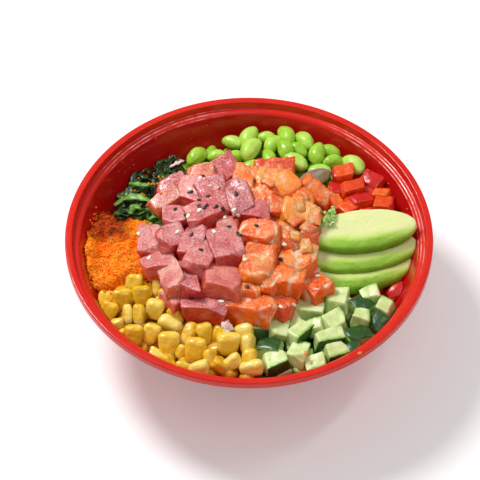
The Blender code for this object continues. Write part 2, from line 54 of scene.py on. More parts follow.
RIM_RADIUS, BOWL_HEIGHT, WALL = 100.0, 62.0, 1.2
FOOT_RADIUS, FOOT_HEIGHT, FOOT_WALL = 49.5, 1.8, 3.0
FLOOR_Z, FLOOR_RADIUS = 3.0, 46.0
WALL_TOP_RADIUS, WALL_TOP_Z = 92.0, 56.2
KNEE_Z, WALL_SLOPE, KNEE_HANDLE = 46.3, 0.41, 6.0
KNEE_RADIUS = WALL_TOP_RADIUS - (WALL_TOP_Z - KNEE_Z) * WALL_SLOPE
FLOOR_CONTROL = (62.0, 8.0)
LOWER_STEP_WIDTH, LOWER_STEP_HEIGHT = 1.4, 1.2
RIM_WIDTH, LEDGE_DROP, SKIRT_DEPTH = 3.8, 4.2, 4.4

RICE_RING_Z, RICE_MOUND_RADIUS = 33.0, 36.0
RICE_MOUND_EDGE_Z, RICE_MOUND_TOP_Z = 46.0, 58.0
RICE_MOUND_RISE = RICE_MOUND_TOP_Z - RICE_MOUND_EDGE_Z

DOME_X, DOME_Y, DOME_RADIUS = -6.0, 0.0, 52.0
DOME_EDGE_Z, DOME_TOP_Z = 61.0, 73.0
FISH_HEIGHT = 14.0
# Share of the dome's slope that the pieces follow, and the most that each leans on its own
FISH_LEVELLING, FISH_LEAN = 0.5, 9.0
THIN_TUNA, THIN_HEIGHT = (8, 23), 6.5  # pieces at the edge of the dome that are thinner than their solids
ORANGE_TUNA = (8, 9)
# Pieces that lie a little off the place of their solids, in mm
FISH_SHIFTS = {("tuna", 1): (0.0, 0.0, -3.0), ("tuna", 8): (3.0, 1.0, 0.0)}
FLAKE_STEP = 1.2  # how far one flake of salmon stands above the next
UNEVENNESS = 0.13  # how far the corners of a cut block stray, as a share of its size
LEAN_SEED, CUT_SEED = 1000, 9000

# (x, y, length, width, yaw, lift above the dome)
TUNA = (
    (-13, 47, 17, 15, 38, 3), (-6, 18, 24, 12, -74, 3), (-25, 9, 20, 16, 25, 3), (-20, 28, 17, 14, 12, 2),
    (-26, -20, 18, 13, 62, 2), (-14, -33, 22, 18, -6, 2), (-41, 11, 12, 12, 10, 2), (-48, 25, 20, 12, 32, 2),
    (-26, 42, 16, 12, 5, 2), (-12, -11, 25, 17, -78, 1), (-42, -4, 15, 15, 20, 1),
    (-43, -26, 26, 13, 102, 1),
    (-32, 30, 18, 13, 80, 1), (-17, 16, 16, 13, -20, 1), (-31, -8, 22, 12, 80, 0), (-33, -29, 26, 11, 98, 0),
    (-42, 36, 17, 14, 25, 0), (4, 11, 13, 12, -10, 0), (-53, -1, 18, 12, 85, -1), (-50, -16, 16, 14, 10, -1),
    (-24, -43, 24, 14, -8, -2), (-12, 3, 13, 11, 0, -2), (-39, -38, 15, 13, 30, -3),
)
SALMON = (
    (16, 34, 22, 16, -8, 2), (28, 11, 26, 14, -12, 2), (6, -5, 22, 17, -12, 2), (21, -30, 16, 14, -10, 2),
    (-1, 38, 20, 12, 80, 1), (8, 24, 15, 12, 15, 1), (31, 23, 15, 12, 80, 1), (5, -23, 26, 18, 80, 1),
    (26, -17, 19, 17, -12, 1), (22, -6, 15, 12, -15, 1), (12, -33, 17, 10, 70, 1), (15, 49, 23, 12, 8, 0),
    (38, 35, 22, 13, -30, 0), (18, 14, 17, 13, -15, 0), (34, 2, 17, 11, 78, 0), (35, -30, 20, 16, -55, 0),
    (1, -45, 28, 16, -18, -1), (0, -37, 14, 12, 0, -1), (18, -42, 18, 14, 65, -2),
)

SECTORS = {
    "edamame": (45.0, 118.125),
    "wakame": (118.125, 157.5),
    "masago": (157.5, 196.875),
    "corn": (196.875, 275.625),
    "cucumber": (275.625, 337.5),
    "pepper": (337.5, 405.0),
}
# Height of each heap at the wall and at its inner edge, and how much lower its two ends lie
CORES = {
    "edamame": (47.0, 50.0, 0.0, 2.0),
    "wakame": (41.5, 50.0, 0.0, 0.0),
    "masago": (46.0, 52.0, 0.0, 2.0),
    "corn": (46.5, 49.0, 0.0, 0.0),
    "cucumber": (45.5, 48.0, 0.0, 4.0),
    "pepper": (45.5, 48.5, 12.0, 0.0),
}
HEAP_INNER_RADIUS = RICE_MOUND_RADIUS + 1.0
HEAP_WALL_GAP = 0.8
HEAP_BOTTOM_Z = RICE_RING_Z + 0.5
# How far out they reach at most: hidden pieces, the underside of a heap, the roe and the seaweed's strips
HIDDEN_RADIUS, BED_RADIUS, ROE_RADIUS, SEAWEED_RADIUS = 86.0, 87.0, 91.0, 79.0
SPOT_TRIES = 4000
# Painted highlights: pale lines on the steps, as (height, half width). They show along arcs whose middle
# lies in the direction of the angle, and which end where the way along that direction is that share of the
# radius
GLINT_LINES = ((WALL_TOP_Z, 0.30), (WALL_TOP_Z + LOWER_STEP_HEIGHT, 0.10), (BOWL_HEIGHT - LEDGE_DROP, 0.10))
GLINT_ARCS = ((124.0, 0.90), (24.0, 0.80))
WALL_GAP = 0.15  # between the food and the bowl's wall
HEAP_CROWN = 6.0  # how far the seaweed and the roe bulge between their inner edge and the wall

# (x, y, height of the middle, length, yaw)
BEANS = (
    (-29, 67, 49, 14, 50), (-18, 68, 49, 10, 10), (-9, 77, 50, 12, -20), (-23, 60, 48, 10, 0),
    (-8, 66, 50, 11, 15), (0, 80, 51, 14, 60), (1, 69, 53, 16, 64), (10, 80, 50, 11, -10),
    (13, 74, 51, 13, 58), (11, 66, 50, 12, -70), (20, 70, 53, 14, -76), (21, 80, 52, 14, -70),
    (31, 77, 51, 14, -52), (28, 70, 52, 11, -40), (26, 61, 52, 15, -34), (38, 66, 53, 14, 80),
    (45, 70, 50, 12, -10), (47, 61, 52, 12, 15), (58, 59, 52, 15, -45), (39, 56, 50, 13, 5),
    (51, 53, 49, 12, 20), (2, 59, 50, 13, 10), (-13, 58, 49, 12, 30), (14, 56, 50, 13, -15),
)
BEAN_WIDTH, BEAN_HEIGHT = 0.70, 0.64  # of the bean's length

# (x, y, height of the middle, length, width, yaw, side with the skin)
CUCUMBER_DICE = (
    (33, -42, 51, 15, 11, -10, "back"), (48, -37, 52, 12, 13, -12, "left"), (60, -38, 49, 11, 11, 40, "top"),
    (60, -48, 51, 9, 10, -8, "right"), (66, -31, 50, 10, 9, 10, "back"), (73, -40, 49, 12, 9, 70, "right"),
    (6, -56, 49, 9, 9, 5, "front"), (16, -56, 51, 10, 11, -4, "back"), (27, -59, 51, 15, 9, 50, "front"),
    (36, -53, 50, 9, 8, 0, "back"), (46, -51, 51, 12, 10, 40, "right"), (42, -63, 51, 16, 9, 15, "front"),
    (58, -59, 49, 13, 10, 30, "top"), (11, -67, 49, 12, 10, -15, "top"),
    (15, -77, 49.5, 14, 11, 16, "front"), (27, -71, 50, 12, 9, 70, "right"),
    (46, -71, 50, 11, 9, 20, "front"), (36, -77, 48, 12, 9, 15, "front"),
    (55, -67, 48, 10, 9, 10, "top"), (23, -49, 49, 10, 9, 20, "left"), (69, -49, 48, 10, 9, 50, "top"),
)
PEPPER_DICE = (
    (52, 51, 53, 11, 10, 10, "left"), (57, 40, 53, 13, 9, 18, "right"), (68, 47, 50, 12, 9, -32, "top"),
    (61, 32, 52, 15, 11, 28, "top"), (73, 37, 51, 9, 8, -10, "back"), (74, 29, 51, 11, 9, -8, "right"),
    (55, 26, 51, 9, 9, 30, "front"), (65, 22, 50, 10, 9, 0, "top"), (48, 41, 50, 9, 9, 0, "top"),
    (80, 19, 49, 9, 8, 20, "top"), (65, 40, 48, 10, 9, 60, "back"), (80, -23, 39, 9, 9, 15, "top"),
    (80, -11, 40, 9, 9, 40, "front"), (47, 31, 50, 9, 9, 25, "left"),
)
CUCUMBER_SEED, PEPPER_SEED = 200, 300
DICE_HEIGHT, DICE_EDGE, DICE_LEAN = 9.0, 0.9, 14.0
SKIN_DEPTH = 5.0  # how far under the skin a cube turns to plain flesh

AVOCADO_HALF_LENGTH, AVOCADO_HALF_WIDTH, AVOCADO_DEPTH = 30.0, 12.0, 11.3
AVOCADO_END_FULLNESS = 0.4
SLICE_THICKNESS, SLICE_TILT = 7.5, 12.0
AVOCADO_GREEN = (0.0, 0.12, 0.14)  # the least green of each slice's cut faces; the two lower slices are painted greener to offset the shade and reddish bounce light on them
# Green at the rim of a cut face, how far a slice thins towards its ends, and how far its near edge droops
RIM_GREEN, END_TAPER, NEAR_DROOP = 0.60, 4.5, 1.3
FACE_SPAN = (0.045, 0.99)  # where the rings of a cut face lie, as shares of the way in to its middle
AVOCADO_SLICES = ((61.5, 5.4, 56.0, 8.0), (62.0, -2.4, 47.2, 10.0), (59.5, -10.2, 41.0, 10.0))

ONION_SIZE, ONION_PLACE = (19.0, 9.0, 2.2), (37.0, 48.5, 53.5)
ONION_TILT, ONION_YAW, ONION_BEND = 38.0, 22.0, 1.5

# ---------------- the finer things that only the looks have

# Corn kernels: (x, y, height of the middle, yaw, rise of the crown, roll, length, width, thickness)
KERNELS = (
    (-69, -35, 51, 85, 55, 0, 11, 10.5, 6), (-58, -33, 52, 95, 50, 10, 10, 9.5, 6),
    (-62, -25, 51, 80, 40, 0, 9.5, 9.5, 6), (-50, -27, 51, 90, 20, 90, 10, 8, 6),
    (-45, -35, 51, 100, 30, 60, 10, 8, 6), (-76, -42, 49, 60, 45, 0, 10, 9, 6),
    (-77, -33, 48, 80, 30, 0, 9, 9, 6), (-65, -46, 51, 95, 15, 85, 10.5, 8, 5.5),
    (-59, -46, 51, 85, 15, 85, 11.5, 8.5, 6.5), (-51, -42, 51, 80, 65, 0, 10, 9.5, 7),
    (-71, -50, 48, 10, 10, 80, 8, 7, 5.5), (-62, -59, 50, 95, 50, -10, 10.5, 10.5, 6.5),
    (-53, -58, 50, 60, 45, 10, 11, 9, 6), (-69, -57, 47, 20, 20, 70, 8, 7, 5),
    (-43, -65, 51, 90, 45, 0, 11, 11, 7), (-42, -52, 51, 150, 10, 80, 12, 8, 7),
    (-39, -46, 51, 140, 20, 70, 10, 8, 7), (-32, -59, 51, 65, 15, 80, 12, 8.5, 7),
    (-49, -71, 48, 160, 20, 20, 10, 8, 5.5), (-36, -69, 49, 60, 30, 70, 8, 7, 5.5),
    (-29, -70, 51, 75, 45, 0, 12, 11, 7), (-24, -58, 51, 110, 50, 0, 10.5, 9.5, 7),
    (-21, -75, 50, 95, 35, 60, 9.5, 8, 6), (-27, -81, 50, 0, 15, 70, 10, 7.5, 6),
    (-35, -79, 48, 170, 10, 70, 9, 7, 5.5), (-43, -75, 48, 120, 30, 40, 9, 7.5, 5.5),
    (-27, -49, 51, 130, 20, 80, 9, 7, 4.5), (-11, -66, 51, 90, 60, 0, 11, 12, 8),
    (-3, -57, 51, 0, 10, 60, 10, 8, 7.5), (-1, -66, 51, 90, 30, 60, 10, 8, 7.5),
    (0, -75, 50, 85, 30, 75, 11, 8, 8), (-16, -59, 50, 60, 40, 0, 9, 8, 6),
    (-9, -77, 50, 20, 20, 50, 10, 8, 6), (1, -81, 50, 0, 10, 60, 11, 8, 7),
    (-16, -79, 50, 150, 30, 40, 9, 8, 6), (-17, -52, 50, 30, 30, 30, 9, 8, 6),
)

# Sesame seeds on the fish and the roe: (x, y)
BLACK_SESAME = (
    (-25, 38), (-27, 16), (-40, 13), (-22, 18), (-27, 11), (-24, 10), (-23, 11),
    (-34, 6), (-35, 3), (-31, -6), (-32, 27), (-8, 33), (3, 34), (-17, 25), (-7, 19), (-15, 13), (-16, 14),
    (-18, 10), (-14, 8), (-11, -1), (4, -3), (-6, -8), (-5, -9), (27, 49), (-26, -17), (-31, -43),
    (-1, -39), (17, -21),
)
WHITE_SESAME = (
    (-22, 38), (-27, 35), (-27, 8), (-33, 5), (-39, -3), (-60, 2), (-8, 9), (-6, 6), (-13, 6), (-19, -5),
    (19, -12), (-54, -14), (-2, -25), (17, -49), (24, -46), (-15, -46), (38, -18), (37, -26),
)
SESAME_SIZE = (3.3, 2.0, 1.1)
# Small scraps on the salmon: (x, y)
SALMON_SCRAPS = (
    (35, 18), (25, 5), (37, 8), (32, 1), (25, -7), (12, 9), (28, 15), (28, 24), (31, -12), (10, 30),
)

# Seaweed: the bright strips that stand out, each a Bezier curve and half its width
BRIGHT_STRIPS = (
    (((-56, 15, 49.5), (-55, 22, 55), (-47.5, 23, 56), (-46, 14, 50.5)), 1.5),
    (((-74, 32, 49), (-67, 38, 52.5), (-60, 36, 53), (-54, 31, 53.5)), 2.2),
    (((-65, 25, 50), (-64.5, 29, 52.8), (-61, 30, 52.8), (-59.5, 27, 51)), 1.8),
    (((-66, 48, 49), (-61, 45, 52.5), (-56, 42, 53), (-52, 45, 52.5)), 1.5),
)

# Roe grains that lie off their heap: (x, y) on the seaweed, the wall and the corn
STRAY_ROE = (
    (-60, 55), (-58, 45), (-51, 47), (-56, 45), (-52, 44), (-50, 49), (-48, 51), (-64, 44), (-66, 40),
    (-70, 37), (-79, -31), (-76, -30), (-74, -33), (-58, 36), (-49, 28),
)
CLUMP_PLACE = (-11.5, -57.6, 55.2)
# Bezier curves of the sliver and of the sprig's stems, whose half width follows
SLIVER = ((-44, 59, 49.5), (-41, 61, 50.5), (-38.5, 62.5, 50.5), (-36, 64, 49.5))
SPRIG_STEMS = (
    (((37, 2, 66), (41, 5, 67.5), (43, 9, 68), (45, 14, 68)), 1.5),
    (((44, 4, 65.5), (45.5, 7, 66.5), (46, 11, 67.5), (46, 16, 68)), 1.3),
    (((37, 14, 67), (39, 12, 67.5), (42, 11, 68), (45, 12, 68)), 0.9),
)
# Crumbs on the rim, the cucumber and the corn: (place, size, yaw)
CRUMBS = (
    ((58.5, -80.0, BOWL_HEIGHT + 0.2), (2.6, 1.6, 1.2), 30), ((30, -76, 57.0), (1.8, 2.6, 1.4), 10),
    ((-75, -38, 53.5), (2.2, 1.6, 1.4), 70),
)
WALL_ROE = ((-84, 29, 51), (-85, 24, 51), (-87, 19, 52), (-86, 18, 51))
ROE_CELLS = 0.95  # pebbles of the roe's bed, in cells per mm
# Where the roe crumbles at the wall, and how high and in which direction it is smeared up the wall
ROE_EDGE_RADIUS, SMEAR_HEIGHT, SMEAR_ANGLE = 87.5, 7.0, 181.0
# How many degrees the seaweed reaches over the roe, within that radius
SEAWEED_OVERLAP, OVERLAP_RADIUS = 6, 72
ROE_TRIES, WALL_GRAINS, ROE_HALF_SIZES = 8400, 90, (0.42, 0.62)
RICE_GRAINS, SEAWEED_STRIPS, WALL_DROPS, CLUMP_LUMPS = 220, 120, 26, 9
# Steps along each side of the grids that blocks and balls are made from
FINE, MIDDLE, COARSE, SEED_STEPS, GRAIN_STEPS = 20, 14, 8, 6, 4
TUNA_STEPS = 18
BOWL_SEGMENTS, RICE_SEGMENTS, AVOCADO_SEGMENTS = 192, 120, 144
ROE_COLUMNS, ROE_RINGS = 100, 115


# ---------------- mesh tools


def smooth_step(low, high, value):
    """0 at low and 1 at high, with a soft rise between; it falls when low is above high."""
    share = np.clip((value - low) / (high - low), 0.0, 1.0)
    return share * share * (3 - 2 * share)


def cube_grid(steps):
    """Points and quads of a cube from -1 to 1 whose sides are grids of steps by steps squares."""
    bm = bmesh.new()
    bmesh.ops.create_cube(bm, size=2.0)
    bmesh.ops.subdivide_edges(bm, edges=bm.edges, cuts=steps - 1, use_grid_fill=True)
    bm.verts.index_update()
    points = np.array([vert.co[:] for vert in bm.verts])
    quads = np.array([[vert.index for vert in face.verts] for face in bm.faces])
    bm.free()
    return points, quads


GRIDS = {steps: cube_grid(steps) for steps in (GRAIN_STEPS, SEED_STEPS, COARSE, MIDDLE, TUNA_STEPS, FINE)}


def ball(steps):
    """A unit ball of evenly spread quads."""
    points, quads = GRIDS[steps]
    square = points ** 2
    spread = [
        np.sqrt(1 - square[:, i] / 2 - square[:, j] / 2 + square[:, i] * square[:, j] / 3)
        for i, j in ((1, 2), (2, 0), (0, 1))
    ]
    return points * np.stack(spread, axis=1), quads


def small_ball():
    """A unit ball of twenty triangles, for the smallest grains."""
    bm = bmesh.new()
    bmesh.ops.create_icosphere(bm, subdivisions=1, radius=1.0)
    points = np.array([vert.co[:] for vert in bm.verts])
    faces = [[vert.index for vert in face.verts] for face in bm.faces]
    bm.free()
    return points, faces


def corner_strays(seed, amount):
    """How far each corner of a block strays, in the order and with the draws that part.py uses."""
    bm = bmesh.new()
    bmesh.ops.create_cube(bm, size=1.0)
    draw = random.Random(seed)
    strays = {}
    for vert in bm.verts:
        stray = [draw.uniform(-amount, amount) for _ in range(3)]
        strays[tuple(vert.co[i] > 0 for i in range(3))] = np.array(stray)
    bm.free()
    return strays


def block(size, edge, seed, steps, stray=UNEVENNESS):
    """A block with softened edges and straying corners: its points, quads, outward directions and grid."""
    grid, quads = GRIDS[steps]
    packed = 0.45 * grid + 0.55 * np.sin(grid * math.pi / 2)  # closer lines near the edges
    half = np.array(size) / 2
    body = packed * half
    core = np.clip(body, edge - half, half - edge)
    away = body - core
    away /= np.linalg.norm(away, axis=1)[:, None]
    points = core + away * edge
    for corner, offset in corner_strays(seed, stray).items():
        share = np.ones(len(grid))
        for axis in range(3):
            share *= (1 + packed[:, axis] * (1 if corner[axis] else -1)) / 2
        points += share[:, None] * offset * np.array(size)
    return points, quads, away, packed


def shave(points, size, count, draw):
    """Shaves corners and edges off a block along random planes, as a few knife cuts would."""
    half = np.array(size) / 2
    for _ in range(count):
        normal = np.array([draw.choice((-1, 1)) * draw.uniform(0.25, 1.0) for _ in range(3)])
        normal[2] = abs(normal[2])
        normal /= np.linalg.norm(normal)
        reach = np.abs(normal) @ half * draw.uniform(0.68, 0.88)
        points = points - np.outer(np.maximum(points @ normal - reach, 0), normal)
    return points


def facing_up(points, quads):
    """How much each point of a mesh of quads faces up, from -1 to 1."""
    corners = points[quads]
    facing = np.cross(corners[:, 2] - corners[:, 0], corners[:, 3] - corners[:, 1])
    total = np.zeros_like(points)
    for i in range(4):
        np.add.at(total, quads[:, i], facing)
    return total[:, 2] / np.linalg.norm(total, axis=1)


def noise_at(points, scale, seed, detail=3):
    """Smooth noise of about -1 to 1 at each point; scale is in waves per mm."""
    shift = Vector((seed * 7.31, seed * 3.17, seed * 1.73))
    return np.array([
        noise.fractal(Vector(point) * scale + shift, 1.0, 2.0, detail) for point in points.tolist()
    ])


def turn(rotation):
    """Rotation matrix of degrees about X, then Y, then Z."""
    return np.array(Euler([math.radians(angle) for angle in rotation]).to_matrix())


class Heap:
    """Gathers many shapes into one mesh. Each point keeps named values, which the material reads."""

    def __init__(self):
        self.points, self.faces, self.count = [], [], 0
        self.values = {"tone": [], "skin": [], "fat": [], "place": []}

    def add(self, points, faces, place, tone=0.5, skin=0.0, fat=0.0):
        """place is each point's position within its own piece; tone, skin and fat are mostly from 0 to 1."""
        size = len(points)
        self.points.append(points)
        self.faces.extend([[index + self.count for index in face] for face in faces])
        for key, value in (("tone", tone), ("skin", skin), ("fat", fat)):
            self.values[key].append(np.broadcast_to(value, size))
        self.values["place"].append(place)
        self.count += size
        return self

    def build(self, name, material, slot, replaces=(), inside=True):
        """Makes the piece, in metres, and puts it on the frame. inside keeps it within the bowl's wall."""
        points = np.concatenate(self.points)
        if inside:
            points = held_by_wall(points)
        mesh = bpy.data.meshes.new(name)
        mesh.from_pydata((points * MM).tolist(), [], self.faces)
        for key, groups in self.values.items():
            kind, field = ("FLOAT_VECTOR", "vector") if key == "place" else ("FLOAT", "value")
            data = np.concatenate(groups).astype(np.float32)
            mesh.attributes.new(key, kind, "POINT").data.foreach_set(field, data.ravel())
        mesh.materials.append(material)
        mesh.shade_smooth()
        obj = bpy.data.objects.new(name, mesh)
        bpy.context.scene.collection.objects.link(obj)
        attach(obj, "root")
        if replaces:
            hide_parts(*replaces)
        return obj


def grid_faces(rows, columns, closed=False):
    """Quads between rows of points that lie one after another; closed joins each row's last to its first."""
    across = columns if closed else columns - 1
    return [
        (r * columns + c, r * columns + (c + 1) % columns, (r + 1) * columns + (c + 1) % columns,
         (r + 1) * columns + c)
        for r in range(rows - 1) for c in range(across)
    ]


def around(radius, angle):
    """x and y of a place at a distance from the axis; angle is in radians."""
    return radius * math.cos(angle), radius * math.sin(angle)


def turned(line, segments):
    """A closed body turned from a line of (radius, z) that starts and ends on the axis.

    The two points on the axis come last.
    """
    angles = np.arange(segments) * 2 * math.pi / segments
    rings = [
        np.stack([radius * np.cos(angles), radius * np.sin(angles), np.full(segments, z)], axis=1)
        for radius, z in line[1:-1]
    ]
    points = np.vstack([*rings, [(0, 0, line[0][1])], [(0, 0, line[-1][1])]])
    faces = [face[::-1] for face in grid_faces(len(rings), segments, closed=True)]
    last, middle = (len(rings) - 1) * segments, len(points) - 2
    for i in range(segments):
        j = (i + 1) % segments
        faces += [(middle, i, j), (middle + 1, last + j, last + i)]
    return points, faces


def path_frame(path):
    """Directions along a path, to its side and up from it."""
    along = np.gradient(path, axis=0)
    along /= np.linalg.norm(along, axis=1)[:, None]
    side = np.cross(along, (0.13, 0.21, 0.97))
    side /= np.linalg.norm(side, axis=1)[:, None]
    return along, side, np.cross(side, along)


def slab(top, low, rows, columns):
    """A closed body between two sheets of points, an upper and a lower one, each rows by columns."""
    half, last = len(top), (rows - 1) * columns
    sheet = grid_faces(rows, columns)
    rim = [(c, c + 1) for c in range(columns - 1)]
    rim += [((r + 1) * columns - 1, (r + 2) * columns - 1) for r in range(rows - 1)]
    rim += [(last + c + 1, last + c) for c in range(columns - 1)]
    rim += [((r + 1) * columns, r * columns) for r in range(rows - 1)]
    faces = [list(face) for face in sheet]
    faces += [[index + half for index in face[::-1]] for face in sheet]
    faces += [[a + half, b + half, b, a] for a, b in rim]
    return np.vstack([top, low]), faces


def ribbon(path, widths, ruffle, phase=0.0, twist=0.0, thickness=0.6, columns=7):
    """A thin closed strip along a path, with edges that ruffle up and down."""
    path = np.asarray(path, float)
    _, side, up = path_frame(path)
    across = np.linspace(-1, 1, columns)
    wave = np.abs(across) ** 1.5
    top, low = [], []
    for i, centre in enumerate(path):
        lean = twist * math.sin(phase + 0.25 * i)
        out = side[i] * math.cos(lean) + up[i] * math.sin(lean)
        over = up[i] * math.cos(lean) - side[i] * math.sin(lean)
        lift = ruffle * wave * np.sin(phase + 0.85 * i + 1.5 * across)
        row = centre + np.outer(across * widths[i], out) + np.outer(lift, over)
        thick = np.outer(thickness * (1 - 0.75 * across ** 4), over)
        top.append(row + thick / 2)
        low.append(row - thick / 2)
    return slab(np.concatenate(top), np.concatenate(low), len(path), columns)


def bezier(controls, steps):
    """Points along the Bezier curve of four control points, both ends included."""
    t = np.linspace(0, 1, steps + 1)[:, None]
    a, b, c, d = (np.array(control, float) for control in controls)
    return (1 - t) ** 3 * a + 3 * t * (1 - t) ** 2 * b + 3 * t * t * (1 - t) * c + t ** 3 * d


def lower_wall(inset, steps):
    """The curved lower wall of the bowl, from its floor up to the knee, moved in by inset."""
    floor = (FLOOR_RADIUS - inset * 0.5, FLOOR_Z + inset)
    knee = (KNEE_RADIUS - inset, KNEE_Z)
    floor_control = (FLOOR_CONTROL[0] - inset * 0.7, FLOOR_CONTROL[1] + inset * 0.7)
    knee_control = (knee[0] - KNEE_HANDLE * WALL_SLOPE, KNEE_Z - KNEE_HANDLE)
    return bezier((floor, floor_control, knee_control, knee), steps)


WALL_LINE = np.vstack([lower_wall(0.0, 24), [(WALL_TOP_RADIUS, WALL_TOP_Z)]])


def wall_radius(z):
    """Inner radius of the bowl at a height."""
    return float(np.interp(z, WALL_LINE[:, 1], WALL_LINE[:, 0]))


def held_by_wall(points):
    """Moves in the points that would stick through the bowl's wall, so that pieces lie flat against it."""
    radius = np.linalg.norm(points[:, :2], axis=1)
    limit = np.interp(points[:, 2], WALL_LINE[:, 1], WALL_LINE[:, 0]) - WALL_GAP
    share = np.where(points[:, 2] < WALL_TOP_Z, np.minimum(limit / np.maximum(radius, 1.0), 1.0), 1.0)
    return points * np.stack([share, share, np.ones(len(points))], axis=1)


def polar(x, y):
    """Distance from the bowl's axis, and angle from 0 to 360."""
    return math.hypot(x, y), math.degrees(math.atan2(y, x)) % 360


def core_height(name, radius, angle):
    """Height of a heap's core at a place, as part.py has it."""
    start, end = SECTORS[name]
    outer, inner, start_drop, end_drop = CORES[name]
    if angle < start - 1:
        angle += 360
    share = min(max((angle - start) / (end - start), 0.0), 1.0)
    out = (radius - HEAP_INNER_RADIUS) / (wall_radius(outer) - HEAP_WALL_GAP - HEAP_INNER_RADIUS)
    out = min(max(out, 0.0), 1.0)
    crown = HEAP_CROWN * out * (1 - out) if name in ("wakame", "masago") else 0.0
    return inner + (outer - inner) * out + crown - start_drop * (1 - share) ** 2 - end_drop * share ** 2


# ---------------- materials


EVEN = (1.0, 1.0, 1.0)


class Finish:
    """A procedural material: a Principled shader and the nodes that feed it."""

    def __init__(self, name, **sockets):
        self.material = bpy.data.materials.new(name)
        self.material.use_nodes = True
        self.tree = self.material.node_tree
        self.shader = self.tree.nodes["Principled BSDF"]
        for socket, value in sockets.items():
            self.shader.inputs[socket.replace("_", " ")].default_value = value

    def put(self, target, value):
        """Sets a socket, or links it when value is another node's output."""
        if isinstance(value, bpy.types.NodeSocket):
            self.tree.links.new(value, target)
        elif isinstance(value, tuple) and len(value) == 3 and target.type == "RGBA":
            target.default_value = (*value, 1.0)
        else:
            target.default_value = value

    def node(self, kind, inputs, **settings):
        node = self.tree.nodes.new(kind)
        for name, value in settings.items():
            setattr(node, name, value)
        for key, value in inputs.items():
            self.put(node.inputs[key], value)
        return node

    def value(self, name):
        """A number kept at the mesh's points."""
        return self.node("ShaderNodeAttribute", {}, attribute_name=name).outputs["Fac"]

    def place(self, stretch=EVEN):
        """Where a point lies within its own piece, in mm, with its axes scaled by stretch."""
        where = self.node("ShaderNodeAttribute", {}, attribute_name="place").outputs["Vector"]
        return self.scaled(where, stretch)

    def room(self, stretch=EVEN):
        """Where a point lies in the model, in mm, with its axes scaled by stretch."""
        where = self.node("ShaderNodeTexCoord", {}).outputs["Object"]
        return self.scaled(where, tuple(share / MM for share in stretch))

    def scaled(self, where, stretch):
        node = self.node("ShaderNodeVectorMath", {0: where, 1: stretch}, operation="MULTIPLY")
        return node.outputs["Vector"]

    def noise(self, scale, detail, stretch=EVEN, distortion=0.0, where="place"):
        """Noise that each piece carries with it. scale is in waves per mm."""
        vector = getattr(self, where)(stretch)
        inputs = {"Vector": vector, "Scale": scale, "Detail": detail, "Distortion": distortion}
        return self.node("ShaderNodeTexNoise", inputs).outputs["Fac"]

    def room_noise(self, scale, detail, stretch=EVEN, distortion=0.0):
        """Noise that runs through the whole model."""
        return self.noise(scale, detail, stretch, distortion, "room")

    def cells(self, scale):
        """Distance to the nearest of many scattered points, which makes a surface of grains."""
        inputs = {"Vector": self.room(), "Scale": scale}
        return self.node("ShaderNodeTexVoronoi", inputs).outputs["Distance"]

    def spread(self, value, low, high, out_low=0.0, out_high=1.0):
        """Stretches the range from low to high over a new range, and keeps to it."""
        inputs = {0: value, 1: low, 2: high, 3: out_low, 4: out_high}
        return self.node("ShaderNodeMapRange", inputs).outputs[0]

    def sum(self, first, second, operation="ADD"):
        return self.node("ShaderNodeMath", {0: first, 1: second}, operation=operation).outputs[0]

    def times(self, first, second):
        return self.sum(first, second, "MULTIPLY")

    def ramp(self, value, *stops):
        """Colours at places from 0 to 1, blended between."""
        node = self.node("ShaderNodeValToRGB", {"Fac": value})
        elements = node.color_ramp.elements
        for position, colour in stops[1:-1]:
            elements.new(position).color = (*colour, 1.0)
        for element, (position, colour) in ((elements[0], stops[0]), (elements[-1], stops[-1])):
            element.position = position
            element.color = (*colour, 1.0)
        return node.outputs["Color"]

    def mottled(self, scale, *stops, detail=4.0, low=0.5, high=1.5):
        """A ramp of colours that follows each piece's tone and varies over it in patches."""
        patches = self.sum(self.noise(scale, detail), self.value("tone"))
        return self.ramp(self.spread(patches, low, high), *stops)

    def mix(self, share, first, second):
        node = self.node("ShaderNodeMix", {}, data_type="RGBA")
        self.put(node.inputs[0], share)
        self.put(node.inputs[6], first)
        self.put(node.inputs[7], second)
        return node.outputs[2]

    def colour(self, value):
        self.put(self.shader.inputs["Base Color"], value)

    def roughness(self, value):
        self.put(self.shader.inputs["Roughness"], value)

    def bump(self, *layers):
        """Relief from (height, depth in mm) layers, one over another."""
        normal = None
        for height, depth in layers:
            inputs = {"Height": height, "Distance": depth * MM, "Strength": 1.0}
            node = self.node("ShaderNodeBump", inputs)
            if normal:
                self.tree.links.new(normal, node.inputs["Normal"])
            normal = node.outputs["Normal"]
        self.tree.links.new(normal, self.shader.inputs["Normal"])


def moist(depth, colour, weight=0.35, coat=0.4, coat_roughness=0.2):
    """Shader settings that wet, slightly see-through food shares. depth is in mm."""
    return {
        "Subsurface_Weight": weight, "Subsurface_Scale": depth * MM, "Subsurface_Radius": colour,
        "Coat_Weight": coat, "Coat_Roughness": coat_roughness, "IOR": 1.4,
    }


